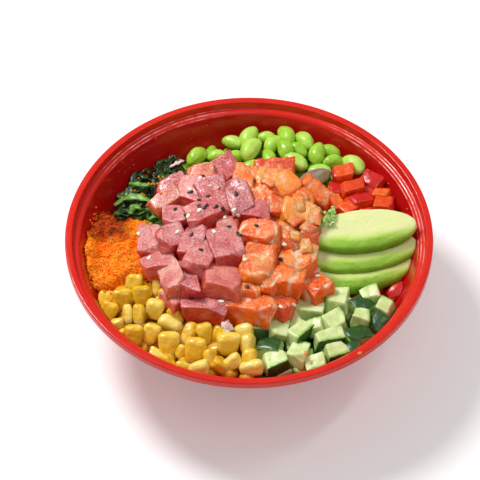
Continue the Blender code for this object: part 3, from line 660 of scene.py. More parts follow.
def bowl_plastic():
    """Glossy moulded plastic with faint flow marks and smears, an inner wall darkened as painted shade, and
    painted highlights: pale lines along arcs of its steps.
    """
    finish = Finish("bowl_plastic", Specular_IOR_Level=0.2, Coat_Weight=0.35, Coat_Roughness=0.06)
    flow = finish.room_noise(0.03, 4.0, (1.0, 1.0, 0.3))
    rim = finish.ramp(flow, (0.3, (0.65, 0.012, 0.005)), (0.7, (0.72, 0.020, 0.008)))
    # painted shade: the inner wall below the steps is a darker red than the rim
    inner = finish.ramp(flow, (0.3, (0.49, 0.004, 0.004)), (0.7, (0.56, 0.007, 0.006)))
    height = finish.node("ShaderNodeSeparateXYZ", {"Vector": finish.room()}).outputs["Z"]
    red = finish.mix(finish.spread(height, WALL_TOP_Z - 1, WALL_TOP_Z + 1), inner, rim)
    lines, arcs = 0.0, 0.0  # 1 on the lines of the painted highlights, and 1 along the arcs where they show
    for level, half in GLINT_LINES:
        away = finish.sum(finish.sum(height, level, "SUBTRACT"), 0.0, "ABSOLUTE")
        lines = finish.sum(finish.spread(away, half * 0.6, half, 1.0, 0.0), lines, "MAXIMUM")
    for angle, start in GLINT_ARCS:
        middle = (math.cos(math.radians(angle)), math.sin(math.radians(angle)), 0.0)
        toward = finish.node("ShaderNodeVectorMath", {0: finish.room(), 1: middle}, operation="DOT_PRODUCT")
        ends = (start * WALL_TOP_RADIUS, (start + 0.08) * WALL_TOP_RADIUS)
        arcs = finish.sum(finish.spread(toward.outputs["Value"], *ends), arcs, "MAXIMUM")
    broken = finish.spread(finish.room_noise(0.22, 5.0), 0.40, 0.60, 0.1, 0.8)
    painted_glints = finish.times(finish.times(lines, arcs), broken)
    # painted highlights: pale lines mixed into the red, broken up along their arcs
    finish.colour(finish.mix(painted_glints, red, (0.95, 0.50, 0.44)))
    smear = finish.room_noise(0.09, 5.0, (1.0, 1.0, 2.5), distortion=0.6)
    finish.roughness(finish.spread(smear, 0.35, 0.7, 0.22, 0.40))
    grain = finish.room_noise(1.6, 2.0)
    finish.bump((smear, 0.02), (grain, 0.006))
    return finish.material


def rice_finish():
    """Cooked rice: moist, off-white and a little uneven."""
    finish = Finish("rice", Roughness=0.42, **moist(1.5, (1.0, 0.85, 0.7), 0.4, 0.2))
    spots = finish.noise(0.9, 3.0)
    finish.colour(finish.ramp(spots, (0.3, (0.78, 0.74, 0.66)), (0.7, (0.90, 0.88, 0.82))))
    finish.bump((spots, 0.08))
    return finish.material


def bean_finish():
    """Shiny green skins, paler where they are stretched and darker in the seam."""
    finish = Finish("edamame", Roughness=0.32, **moist(2.0, (0.6, 1.0, 0.2), 0.25, 0.3, 0.2))
    greens = finish.mottled(
        0.22, (0.1, (0.18, 0.44, 0.012)), (0.45, (0.37, 0.65, 0.04)), (0.85, (0.58, 0.82, 0.16)),
    )
    finish.colour(finish.mix(finish.value("skin"), greens, (0.20, 0.34, 0.02)))
    wrinkles = finish.noise(0.9, 4.0, (0.5, 1.0, 1.0))
    finish.bump((finish.noise(0.4, 3.0), 0.3), (wrinkles, 0.16), (finish.noise(3.0, 2.0), 0.04))
    return finish.material


def corn_finish():
    """Yellow kernels with pale tips and a tight shiny skin."""
    finish = Finish("corn", Roughness=0.30, **moist(1.5, (1.0, 0.75, 0.2), 0.3, 0.5, 0.15))
    yellows = finish.mottled(
        0.22, (0.1, (0.68, 0.34, 0.008)), (0.5, (0.90, 0.57, 0.022)), (0.9, (0.96, 0.76, 0.18)),
    )
    tip = finish.ramp(finish.noise(0.8, 3.0), (0.4, (0.86, 0.74, 0.36)), (0.7, (0.80, 0.58, 0.12)))
    finish.colour(finish.mix(finish.value("skin"), yellows, tip))
    finish.bump((finish.noise(0.5, 4.0), 0.45), (finish.noise(3.0, 2.0), 0.05))
    return finish.material


def cucumber_finish():
    """Pale wet flesh that turns green under a dark, ridged skin."""
    finish = Finish("cucumber", Roughness=0.3, **moist(2.5, (0.8, 1.0, 0.5), 0.3, 0.35))
    wander = finish.spread(finish.noise(0.35, 3.0), 0.3, 0.7, -0.09, 0.09)
    depth = finish.sum(finish.value("skin"), wander)
    flesh = finish.ramp(
        finish.spread(finish.noise(0.3, 4.0, (1.0, 1.0, 0.4)), 0.3, 0.7),
        (0.1, (0.56, 0.71, 0.22)), (0.9, (0.78, 0.87, 0.46)),
    )
    rind = finish.ramp(
        depth, (0.45, (0.62, 0.75, 0.34)), (0.70, (0.36, 0.58, 0.12)), (0.84, (0.14, 0.34, 0.03)),
        (0.95, (0.020, 0.085, 0.012)),
    )
    finish.colour(finish.mix(finish.spread(depth, 0.4, 0.6), flesh, rind))
    finish.bump((finish.noise(0.8, 4.0), 0.3), (finish.noise(4.0, 2.0), 0.06))
    return finish.material


def pepper_finish():
    """Sweet pepper: glossy red skin over orange-red flesh."""
    finish = Finish("pepper", Roughness=0.25, **moist(2.0, (1.0, 0.25, 0.06), 0.3, 0.4))
    flesh = finish.mottled(
        0.3, (0.1, (0.64, 0.025, 0.004)), (0.5, (0.80, 0.075, 0.006)), (0.9, (0.90, 0.20, 0.03)),
    )
    skin = finish.ramp(finish.noise(0.2, 3.0), (0.3, (0.52, 0.006, 0.004)), (0.7, (0.70, 0.014, 0.008)))
    finish.colour(finish.mix(finish.spread(finish.value("skin"), 0.55, 0.85), flesh, skin))
    finish.bump((finish.noise(0.9, 4.0), 0.2), (finish.noise(4.0, 2.0), 0.03))
    return finish.material


def tuna_finish():
    """Raw tuna: glassy red, brighter low down, with painted sheen and painted glints on its upward faces,
    which are also bumped to glitter.
    """
    finish = Finish("tuna", Specular_IOR_Level=0.7, **moist(3.5, (1.0, 0.3, 0.25), 0.9, 0.25, 0.12))
    fibres = finish.noise(0.6, 4.0, (0.25, 1.0, 1.0), distortion=0.4)
    clouds = finish.noise(0.11, 4.0)
    shade = finish.sum(finish.sum(finish.spread(fibres, 0.3, 0.7, 0.0, 0.35), clouds), finish.value("tone"))
    reds = finish.ramp(
        finish.spread(shade, 0.6, 1.8), (0.05, (0.36, 0.010, 0.012)), (0.35, (0.57, 0.040, 0.034)),
        (0.70, (0.72, 0.14, 0.10)), (1.0, (0.94, 0.33, 0.13)),
    )
    reds = finish.mix(finish.times(finish.value("fat"), 0.65), reds, (0.74, 0.040, 0.022))
    grain = finish.noise(0.9, 5.0)
    # painted sheen: the upward faces turn pale, in patches that follow the grain
    painted_sheen = finish.times(finish.value("skin"), finish.spread(grain, 0.36, 0.62, 0.15, 0.85))
    sheen_colour = finish.mix(finish.spread(clouds, 0.35, 0.65), (0.60, 0.25, 0.26), (0.84, 0.49, 0.49))
    # painted glints: pale specks on the upward faces
    glint_specks = finish.spread(finish.noise(1.3, 1.0), 0.61, 0.69, 0.0, 0.8)
    glint_faces = finish.times(finish.value("skin"), finish.spread(clouds, 0.40, 0.58, 0.2, 1.0))
    glint_specks = finish.times(glint_specks, glint_faces)
    finish.colour(finish.mix(glint_specks, finish.mix(painted_sheen, reds, sheen_colour), (0.95, 0.78, 0.78)))
    finish.roughness(finish.spread(grain, 0.35, 0.65, 0.10, 0.26))
    open_air = finish.spread(finish.value("skin"), 0.0, 0.8, 0.25, 1.0)
    glitter = finish.times(finish.noise(1.1, 2.0), open_air)
    finish.bump((fibres, 0.35), (glitter, 0.55))
    return finish.material


def salmon_finish():
    """Raw salmon: glowing orange flesh, painted sheen and painted glints on its upward faces, and lines of
    fat between its flakes.
    """
    finish = Finish("salmon", Specular_IOR_Level=0.7, **moist(4.0, (1.0, 0.35, 0.12), 0.9, 0.25, 0.12))
    clouds = finish.noise(0.10, 4.0)
    grain = finish.noise(0.8, 5.0, (0.5, 1.0, 1.0))
    shade = finish.sum(finish.sum(finish.spread(grain, 0.3, 0.7, 0.0, 0.3), clouds), finish.value("tone"))
    flesh = finish.ramp(
        finish.spread(shade, 0.6, 1.5), (0.1, (0.77, 0.080, 0.002)), (0.5, (0.93, 0.170, 0.004)),
        (0.9, (0.98, 0.31, 0.018)),
    )
    # painted sheen: the upward faces turn pale orange in patches
    painted_sheen = finish.times(finish.value("skin"), finish.spread(clouds, 0.44, 0.62, 0.0, 0.8))
    painted_sheen = finish.times(painted_sheen, finish.spread(grain, 0.38, 0.60, 0.3, 1.0))
    body = finish.mix(painted_sheen, flesh, (0.97, 0.45, 0.17))
    lines = finish.times(finish.value("fat"), finish.spread(clouds, 0.38, 0.52, 0.15, 1.0))
    # painted glints: pale specks on the upward faces
    glint_specks = finish.spread(finish.noise(1.4, 1.0), 0.60, 0.68, 0.0, 0.7)
    glint_specks = finish.times(glint_specks, finish.value("skin"))
    body = finish.mix(lines, body, (0.98, 0.75, 0.52))
    finish.colour(finish.mix(glint_specks, body, (0.98, 0.84, 0.68)))
    finish.roughness(finish.spread(grain, 0.35, 0.65, 0.10, 0.26))
    open_air = finish.spread(finish.value("skin"), 0.0, 0.8, 0.3, 1.0)
    glitter = finish.times(finish.noise(1.0, 2.0), open_air)
    finish.bump((glitter, 0.55))
    return finish.material


def roe_finish():
    """Bright roe; each loose grain has its own shade, the palest standing in as painted glints, and the bed
    under them is pebbled like them, with painted shade between the pebbles.
    """
    finish = Finish("masago", Roughness=0.3, Specular_IOR_Level=0.2,
                    **moist(0.5, (1.0, 0.8, 0.5), 0.1, 0.0))
    cells = finish.cells(ROE_CELLS)
    clouds = finish.room_noise(0.10, 4.0)
    # painted shade: darker towards the edges of the pebbles, between the grains
    shade = finish.sum(finish.sum(finish.value("tone"), clouds), finish.times(cells, 0.35), "SUBTRACT")
    oranges = finish.ramp(
        finish.spread(shade, 0.0, 1.1), (0.05, (0.94, 0.060, 0.0003)), (0.45, (1.0, 0.145, 0.0005)),
        (0.8, (1.0, 0.29, 0.003)), (1.0, (1.0, 0.40, 0.03)),
    )
    spots = finish.room_noise(0.35, 4.0)
    browns = finish.ramp(
        spots, (0.35, (0.10, 0.014, 0.002)), (0.5, (0.38, 0.030, 0.001)), (0.7, (0.78, 0.085, 0.001)),
    )
    finish.colour(finish.mix(finish.value("skin"), oranges, browns))
    finish.bump((finish.spread(cells, 0.0, 0.6, 1.0, 0.0), 0.09))
    return finish.material


def wakame_finish():
    """Seaweed: nearly black green to bright green, wet, with a fine grain along each strip."""
    finish = Finish("wakame", Roughness=0.34, **moist(1.0, (0.3, 1.0, 0.2), 0.15, 0.2))
    finish.colour(finish.mottled(
        0.28, (0.05, (0.008, 0.016, 0.006)), (0.30, (0.024, 0.075, 0.012)),
        (0.55, (0.10, 0.29, 0.025)), (0.92, (0.38, 0.66, 0.13)), low=0.3, high=1.6,
    ))
    finish.bump((finish.noise(1.2, 3.0, (0.3, 1.0, 1.0)), 0.25))
    return finish.material


def avocado_finish():
    """Pale yellow cut faces that turn green towards the peeled side."""
    finish = Finish("avocado", Roughness=0.42, **moist(2.5, (0.8, 1.0, 0.3), 0.5, 0.2))
    wander = finish.spread(finish.noise(0.18, 4.0), 0.2, 0.8, -0.08, 0.08)
    finish.colour(finish.ramp(
        finish.sum(finish.value("skin"), wander), (0.05, (0.84, 0.88, 0.40)), (0.30, (0.66, 0.84, 0.21)),
        (0.52, (0.46, 0.77, 0.09)), (0.72, (0.26, 0.58, 0.030)), (0.97, (0.10, 0.34, 0.008)),
    ))
    soft = finish.noise(0.5, 4.0)
    pits = finish.noise(2.2, 2.0)
    finish.bump((soft, 0.3), (pits, 0.12))
    return finish.material


def onion_finish():
    """A see-through leaf of red onion: greenish grey, with a purple edge."""
    finish = Finish("onion", Roughness=0.25, **moist(1.5, (1.0, 0.8, 0.7), 0.3, 0.4))
    finish.shader.inputs["Transmission Weight"].default_value = 0.35
    veins = finish.noise(0.6, 3.0, (0.15, 1.4, 1.0))
    shade = finish.sum(finish.value("skin"), finish.spread(veins, 0.3, 0.7, -0.2, 0.2))
    finish.colour(finish.ramp(
        shade, (0.1, (0.46, 0.46, 0.22)), (0.6, (0.55, 0.46, 0.36)), (1.1, (0.50, 0.24, 0.27)),
    ))
    finish.bump((veins, 0.3))
    return finish.material


def plain_food(name, dark, light, roughness=0.4, depth=0.8):
    """Small scattered things of one colour that varies a little."""
    finish = Finish(name, Roughness=roughness, **moist(depth, (1.0, 0.8, 0.5), 0.2, 0.3))
    finish.colour(finish.mottled(0.8, (0.1, dark), (0.9, light), detail=3.0))
    finish.bump((finish.noise(1.8, 3.0), 0.06))
    return finish.material


# ---------------- the bowl


def rounded_line(corners, steps=4):
    """A line through (radius, z, rounding) corners, each rounded off over that many mm on both sides."""
    line = []
    for i, (radius, z, rounding) in enumerate(corners):
        here = np.array((radius, z))
        if not rounding:
            line.append(here)
            continue
        before, after = (np.array(corners[j][:2]) - here for j in (i - 1, i + 1))
        start = here + before / np.linalg.norm(before) * rounding
        end = here + after / np.linalg.norm(after) * rounding
        for t in np.linspace(0, 1, steps + 1):
            line.append((1 - t) ** 2 * start + 2 * t * (1 - t) * here + t * t * end)
    return line


def make_bowl():
    """The thin moulded bowl, turned from one rounded outline."""
    rim, top = RIM_RADIUS, BOWL_HEIGHT
    rim_inner, ledge_z = rim - RIM_WIDTH, top - LEDGE_DROP
    step_radius = WALL_TOP_RADIUS + LOWER_STEP_WIDTH
    inside = [(radius, z, 0) for radius, z in lower_wall(0.0, 20)]
    upper = [
        (WALL_TOP_RADIUS, WALL_TOP_Z, 0.5), (step_radius, WALL_TOP_Z + LOWER_STEP_HEIGHT, 0.5),
        (rim_inner - 0.6, ledge_z, 0.5), (rim_inner, top - 0.1, 0.7), (rim, top, 0.9),
        (rim, top - SKIRT_DEPTH, 0.3), (rim - WALL, top - SKIRT_DEPTH, 0.3), (rim - WALL, top - WALL, 0.4),
        (rim_inner + WALL, top - WALL, 0.4), (rim_inner + 0.5, ledge_z - WALL, 0.6),
        (step_radius, WALL_TOP_Z - WALL / 2, 0.4),
    ]
    outside = [(radius, z, 0) for radius, z in lower_wall(-WALL, 20)[::-1][:-1]]
    foot = [
        (FOOT_RADIUS, FOOT_HEIGHT, 0.4), (FOOT_RADIUS, 0, 0.4), (FOOT_RADIUS - FOOT_WALL, 0, 0.4),
        (FOOT_RADIUS - FOOT_WALL, FOOT_HEIGHT, 0),
    ]
    line = [(0.0, FLOOR_Z), *rounded_line([*inside, *upper, *outside, *foot]), (0.0, FOOT_HEIGHT)]
    points, faces = turned(line, BOWL_SEGMENTS)
    Heap().add(points, faces, points).build("bowl_shell", bowl_plastic(), "bowl", ["bowl"], inside=False)


# ---------------- rice, beans, corn and diced vegetables


def sector_spots(name, drop, spacing, seed, inset=5.0):
    """Places about spacing mm apart that fill a sector, lower than its top by drop: (x, y, z)."""
    start, end = SECTORS[name]
    draw = random.Random(seed)
    spots = []
    for _ in range(SPOT_TRIES):
        radius = math.sqrt(draw.uniform(HEAP_INNER_RADIUS ** 2, HIDDEN_RADIUS ** 2))
        angle = math.radians(draw.uniform(start, end))
        x, y = around(radius, angle)
        z = core_height(name, radius, math.degrees(angle)) - drop
        side = min(math.degrees(angle) - start, end - math.degrees(angle)) * math.pi / 180 * radius
        if side < inset or radius > wall_radius(z) - inset:
            continue
        if all(math.hypot(x - spot[0], y - spot[1]) > spacing for spot in spots):
            spots.append((x, y, z))
    return spots


def add_bed(heap, name, drop, bumps, seed, skin=0.0):
    """Adds the uneven underside of a heap: a closed wedge whose top lies drop mm under the heap's, in the
    darkest tone as painted shade.
    """
    start, end = SECTORS[name]
    columns, rings = round(1.3 * (end - start)), 24
    top, low = [], []
    for i in range(columns + 1):
        angle = start + 0.5 + (end - start - 1.0) * i / columns
        for j in range(rings + 1):
            radius = HEAP_INNER_RADIUS + (BED_RADIUS - HEAP_INNER_RADIUS) * j / rings
            z = core_height(name, radius, angle) - drop
            upper = min(radius, wall_radius(z) - HEAP_WALL_GAP - 0.5)
            lower = min(radius, wall_radius(HEAP_BOTTOM_Z) - HEAP_WALL_GAP)
            top.append((*around(upper, math.radians(angle)), z))
            low.append((*around(lower, math.radians(angle)), HEAP_BOTTOM_Z))
    top = np.array(top)
    top[:, 2] += bumps * noise_at(top, 0.16, seed, 4)
    points, faces = slab(top, np.array(low), columns + 1, rings + 1)
    # painted shade: the bed takes the darkest tone of its food
    heap.add(points, faces, points, 0.0, skin)


def make_rice():
    """The rice: a pebbled mound and ring, with loose grains on its upper side."""
    line = [(0.0, RICE_MOUND_TOP_Z - 1)]
    line += [
        (RICE_MOUND_RADIUS * share, RICE_MOUND_EDGE_Z + RICE_MOUND_RISE * (1 - share * share))
        for share in np.linspace(0.05, 1, 20)
    ]
    line += [(RICE_MOUND_RADIUS + 0.4, RICE_RING_Z + 1.0)]
    line += [(radius, RICE_RING_Z) for radius in np.linspace(38, wall_radius(RICE_RING_Z) - 1.2, 16)]
    line += [(r - 0.5, z + 0.2) for r, z in lower_wall(0.4, 16)[::-1] if z < RICE_RING_Z - 2]
    line += [(0.0, FLOOR_Z + 0.6)]
    points, faces = turned(line, RICE_SEGMENTS)
    rings = points[:-2]
    upper = smooth_step(RICE_RING_Z - 4, RICE_RING_Z - 1, rings[:, 2])
    rings[:, 2] -= 0.7 * upper * (1 + noise_at(rings, 0.35, 5, 3))
    finish = rice_finish()
    Heap().add(points, faces, points).build("rice_bed", finish, "rice", ["rice"])
    heap = Heap()
    draw = random.Random(11)
    for _ in range(RICE_GRAINS):
        radius, angle = draw.uniform(2, 74), draw.uniform(0, 2 * math.pi)
        share = radius / RICE_MOUND_RADIUS
        z = RICE_MOUND_EDGE_Z + RICE_MOUND_RISE * (1 - share * share) if share < 1 else RICE_RING_Z
        grain(heap, (*around(radius, angle), z - 0.3), draw)
    heap.build("rice_grains", finish, "rice")


def grain(heap, position, draw):
    """One cooked grain of rice, lying nearly flat."""
    points, quads = ball(GRAIN_STEPS)
    points = points * np.array((draw.uniform(2.9, 3.6), 1.15, 1.0))
    points[:, 2] -= 0.05 * points[:, 0] ** 2
    rotation = (draw.uniform(0, 360), draw.uniform(-20, 20), draw.uniform(0, 360))
    heap.add(points @ turn(rotation).T + position, quads, points, draw.random())


def bean(heap, row, seed, tone, steps=MIDDLE):
    """One shelled edamame bean, with its flat cheeks and the seam where it sat in the pod."""
    x, y, z, length, yaw = row
    draw = random.Random(seed)
    unit, quads = ball(steps)
    points = unit * (length / 2) * np.array((1.04, BEAN_WIDTH * 0.94, BEAN_HEIGHT * 0.96))
    points[:, 1] -= 0.07 * length * (unit[:, 0] ** 2 - 0.4)  # a slight kidney bend
    points[:, 1] *= 1 + 0.10 * unit[:, 0] * draw.choice((-1, 1))  # one end fuller
    points *= (1 + 0.035 * noise_at(unit, 1.3, seed, 3))[:, None]
    seam = np.exp(-((unit[:, 2] / 0.12) ** 2)) * smooth_step(0.45, 0.8, unit[:, 1])
    seam = seam * (np.abs(unit[:, 0]) < 0.5)
    points[:, 1] -= 0.25 * seam
    rotation = (draw.uniform(-35, 35), draw.uniform(-12, 12), yaw)
    heap.add(points @ turn(rotation).T + (x, y, z), quads, points, tone, seam * 0.6)


def make_edamame(finish):
    """The heap of beans: those that show, more under them, and a bed."""
    heap = Heap()
    draw = random.Random(21)
    for seed, row in enumerate(BEANS, 500):
        bean(heap, row, seed, draw.uniform(0.35, 0.75))
    # painted shade: the beans under the top ones are given darker tones
    for seed, spot in enumerate(sector_spots("edamame", drop=5.0, spacing=9.0, seed=22), 600):
        bean(heap, (*spot, draw.uniform(10, 13), draw.uniform(0, 180)), seed, draw.uniform(0.1, 0.4), COARSE)
    add_bed(heap, "edamame", drop=9.0, bumps=1.5, seed=23)
    return heap.build("edamame_beans", finish, "edamame", ["edamame_heap"])


def kernel(heap, row, seed, tone, steps=MIDDLE):
    """One corn kernel: a plump rounded tooth with a slightly dented crown and a narrow pale tip."""
    x, y, z, yaw, raised, roll, length, width, thickness = row
    draw = random.Random(seed)
    size = np.array((length, width, thickness)) * draw.uniform(1.04, 1.14)
    points, quads, away, _ = block(size, 0.40 * size[2], seed, steps, 0.10)
    rounded = ball(steps)[0] * size / 2 * 1.12
    points = 0.84 * points + 0.16 * rounded
    along = np.clip(points[:, 0] / size[0] + 0.5, 0.0, 1.0)
    points[:, 1] *= 1 - 0.34 * (1 - along) ** 1.7
    points[:, 2] *= 1 - 0.2 * (1 - along)
    crown = np.exp(-((points[:, 1] / (0.26 * width)) ** 2) - (points[:, 2] / (0.22 * thickness)) ** 2)
    points[:, 0] -= draw.choice((0.0, 0.4, 0.8)) * crown * smooth_step(0.6, 1.0, along)
    points += away * (0.35 * noise_at(points, 0.28, seed, 3))[:, None]
    tip = 0.9 * (1 - smooth_step(0.02, 0.22, along))
    rotation = turn((0, 0, yaw)) @ turn((0, -raised, 0)) @ turn((roll, 0, 0))
    heap.add(points @ rotation.T + (x, y, z), quads, points, tone, tip)


def make_corn(finish):
    """The heap of kernels, built like the heap of beans."""
    heap = Heap()
    draw = random.Random(31)
    for seed, row in enumerate(KERNELS, 700):
        kernel(heap, row, seed, draw.uniform(0.3, 0.85))
    # painted shade: the kernels under the top ones are given darker tones
    for seed, spot in enumerate(sector_spots("corn", drop=2.6, spacing=7.2, seed=32, inset=4.0), 800):
        size = (draw.uniform(8.5, 10.5), draw.uniform(8, 9.5), draw.uniform(5.5, 7))
        pose = (draw.uniform(0, 360), draw.uniform(-10, 60), draw.uniform(0, 90))
        kernel(heap, (*spot, *pose, *size), seed, draw.uniform(0.0, 0.4), COARSE)
    add_bed(heap, "corn", drop=8.0, bumps=1.5, seed=33)
    return heap.build("corn_kernels", finish, "corn", ["corn_heap"])


SKIN_SIDES = {"left": (0, -1), "right": (0, 1), "front": (1, -1), "back": (1, 1), "top": (2, 1)}


def dice(heap, row, seed, tone, steps=MIDDLE):
    """One knife-cut cube. Its skin side is slightly domed, as the outside of the vegetable is."""
    x, y, z, length, width, yaw, side = row
    full = (length, width, DICE_HEIGHT)
    points, quads, away, grid = block(full, DICE_EDGE, seed, steps)
    draw = random.Random(seed)
    lean = [draw.uniform(-DICE_LEAN, DICE_LEAN) for _ in range(2)]
    axis, sign = SKIN_SIDES[side]
    outward = grid[:, axis] * sign
    others = [grid[:, i] for i in range(3) if i != axis]
    dome = (1 - others[0] ** 2) * (1 - others[1] ** 2)
    on_face = smooth_step(0.85, 1.0, outward)
    points[:, axis] += sign * (0.9 * dome - 0.4) * on_face
    points = shave(points, full, 1, draw)
    points += away * (0.4 * noise_at(points, 0.20, seed, 3))[:, None]
    skin = 1 - (1 - outward) * full[axis] / 2 / SKIN_DEPTH
    heap.add(points @ turn((*lean, yaw)).T + (x, y, z), quads, points, tone, np.clip(skin, 0, 1))


def make_diced(name, rows, first_seed, finish):
    """A heap of diced vegetable: the cubes that show, more under them, and a bed."""
    heap = Heap()
    draw = random.Random(first_seed)
    for seed, row in enumerate(rows, first_seed):
        dice(heap, row, seed, draw.uniform(0.2, 0.9))
    # painted shade: the cubes under the top ones get darker tones, and the bed the darkest tone and a dark
    # skin colour
    spots = sector_spots(name, drop=3.5, spacing=8.5, seed=first_seed + 1)
    for seed, spot in enumerate(spots, first_seed + 40):
        length, width, yaw = draw.uniform(8, 11), draw.uniform(7, 10), draw.uniform(0, 180)
        row = (*spot, length, width, yaw, draw.choice(list(SKIN_SIDES)))
        dice(heap, row, seed, draw.uniform(0.0, 0.4), COARSE)
    add_bed(heap, name, drop=7.5, bumps=1.0, seed=first_seed, skin=0.9)
    return heap.build(f"{name}_cubes", finish, name, [f"{name}_heap"])


# ---------------- fish, avocado and onion


def dome_height(x, y):
    """Height of the dome that the fish lies on."""
    share = ((x - DOME_X) ** 2 + (y - DOME_Y) ** 2) / DOME_RADIUS ** 2
    return DOME_EDGE_Z + (DOME_TOP_Z - DOME_EDGE_Z) * (1 - share)


def fish_matrix(row, seed):
    """Rotation and position of a piece of fish, with part.py's draws."""
    x, y, _, _, yaw, lift = row
    slope = FISH_LEVELLING * 2 * (DOME_TOP_Z - DOME_EDGE_Z) / DOME_RADIUS ** 2
    tilt_x = -math.degrees(math.atan(slope * (DOME_Y - y)))
    tilt_y = -math.degrees(math.atan(slope * (DOME_X - x)))
    draw = random.Random(LEAN_SEED + seed)
    lean = [draw.uniform(-FISH_LEAN, FISH_LEAN) for _ in range(2)]
    rotation = turn((tilt_x, tilt_y, 0)) @ turn((*lean, 0))
    return rotation, turn((0, 0, yaw)), np.array((x, y, dome_height(x, y) + lift))


def flakes(points, seed, draw):
    """How a block of salmon splits into flakes: relief in mm, and a number that is 1 on the pale lines."""
    across = np.array((1.0, draw.uniform(-0.5, 0.5), draw.uniform(-0.7, 0.7)))
    across /= np.linalg.norm(across)
    wander = 5.0 * noise_at(points, 0.07, seed + 70, 3)
    share = ((points @ across + wander) / draw.uniform(5.0, 10.0) + draw.random()) % 1.0
    relief = np.where(share < 0.85, share / 0.85 - 0.5, 0.5 - (share - 0.85) / 0.15)
    return FLAKE_STEP * relief, np.exp(-((np.minimum(share, 1 - share) / 0.07) ** 2))


def fish_piece(kind, number, row, seed, finish):
    """One diced piece: uneven cuts, sagging faces and lumps. Its upward faces count as skin, which carries
    painted sheen and glints.
    """
    draw = random.Random(CUT_SEED + seed)
    soft, lumpy = (1.0, 0.7) if kind == "tuna" else (1.6, 1.1)
    thin = kind == "tuna" and number in THIN_TUNA
    height, scale = (THIN_HEIGHT, 0.92) if thin else (FISH_HEIGHT, 1.05)
    size = (row[2] * scale, row[3] * scale, height)
    points, quads, away, grid = block(size, soft, seed, FINE if kind == "salmon" else TUNA_STEPS, 0.10)
    for axis in (0, 1):
        taper, skew = draw.uniform(-0.13, 0.13), draw.uniform(-0.08, 0.08)
        points[:, axis] *= 1 + taper * grid[:, 2] + skew * grid[:, 1 - axis]
    points[:, 2] += draw.uniform(-1.4, 0.6) * (grid[:, 0] ** 2 - 0.4)
    points = shave(points, size, 3 if kind == "tuna" else 4, draw)
    rise = lumpy * noise_at(points, 0.09, seed, 2) + 0.22 * noise_at(points, 0.35, seed + 50, 3) - 0.1
    fat = 1 - smooth_step(-0.9, 0.7, grid[:, 2])  # of tuna, how low a point lies
    if kind == "salmon":
        relief, fat = flakes(points, seed, draw)
        rise = rise + relief
    points = points + away * rise[:, None]
    place = points @ turn((draw.uniform(-25, 25), draw.uniform(-25, 25), draw.uniform(-30, 30))).T
    place = place + np.array([draw.uniform(-50, 50) for _ in range(3)])
    leaned, yawed, centre = fish_matrix(row, seed)
    centre = centre + FISH_SHIFTS.get((kind, number), 0.0)
    placed = (points @ yawed.T + (0, 0, -height / 2)) @ leaned.T + centre
    # painted sheen and glints go on the faces that point up
    upward_sheen = smooth_step(0.25, 0.95, facing_up(placed, quads)) * draw.uniform(0.55, 1.0)
    tone = 1.05 if kind == "tuna" and number in ORANGE_TUNA else draw.uniform(0.15, 0.85)
    if kind == "salmon" and row[5] <= 0:
        tone -= 0.4  # painted shade: the low pieces are a deeper, darker orange
    piece = Heap().add(placed, quads, place, tone, upward_sheen, fat)
    return piece.build(f"{kind}_cube_{number:02d}", finish, kind, [f"{kind}_{number:02d}"])


def make_fish(finishes):
    """All cubes of tuna, then all of salmon. Their seeds run on, as in part.py."""
    rows = [("tuna", i, row) for i, row in enumerate(TUNA, 1)]
    rows += [("salmon", i, row) for i, row in enumerate(SALMON, 1)]
    return [fish_piece(kind, i, row, seed, finishes[kind]) for seed, (kind, i, row) in enumerate(rows)]


def avocado_outline(height, angles, near):
    """The slice's outline at a height above its lower cut. Only its near side is rounded like the fruit."""
    cos, sin = np.cos(angles), np.sin(angles)
    shrink = math.sqrt(1 - (height / AVOCADO_DEPTH) ** 2)
    narrow = 1 - near * (1 - shrink)
    x = np.sign(cos) * np.abs(cos) * narrow ** AVOCADO_END_FULLNESS
    return np.stack([x * AVOCADO_HALF_LENGTH, sin * narrow * AVOCADO_HALF_WIDTH,
                     np.full(len(angles), float(height))], axis=1)


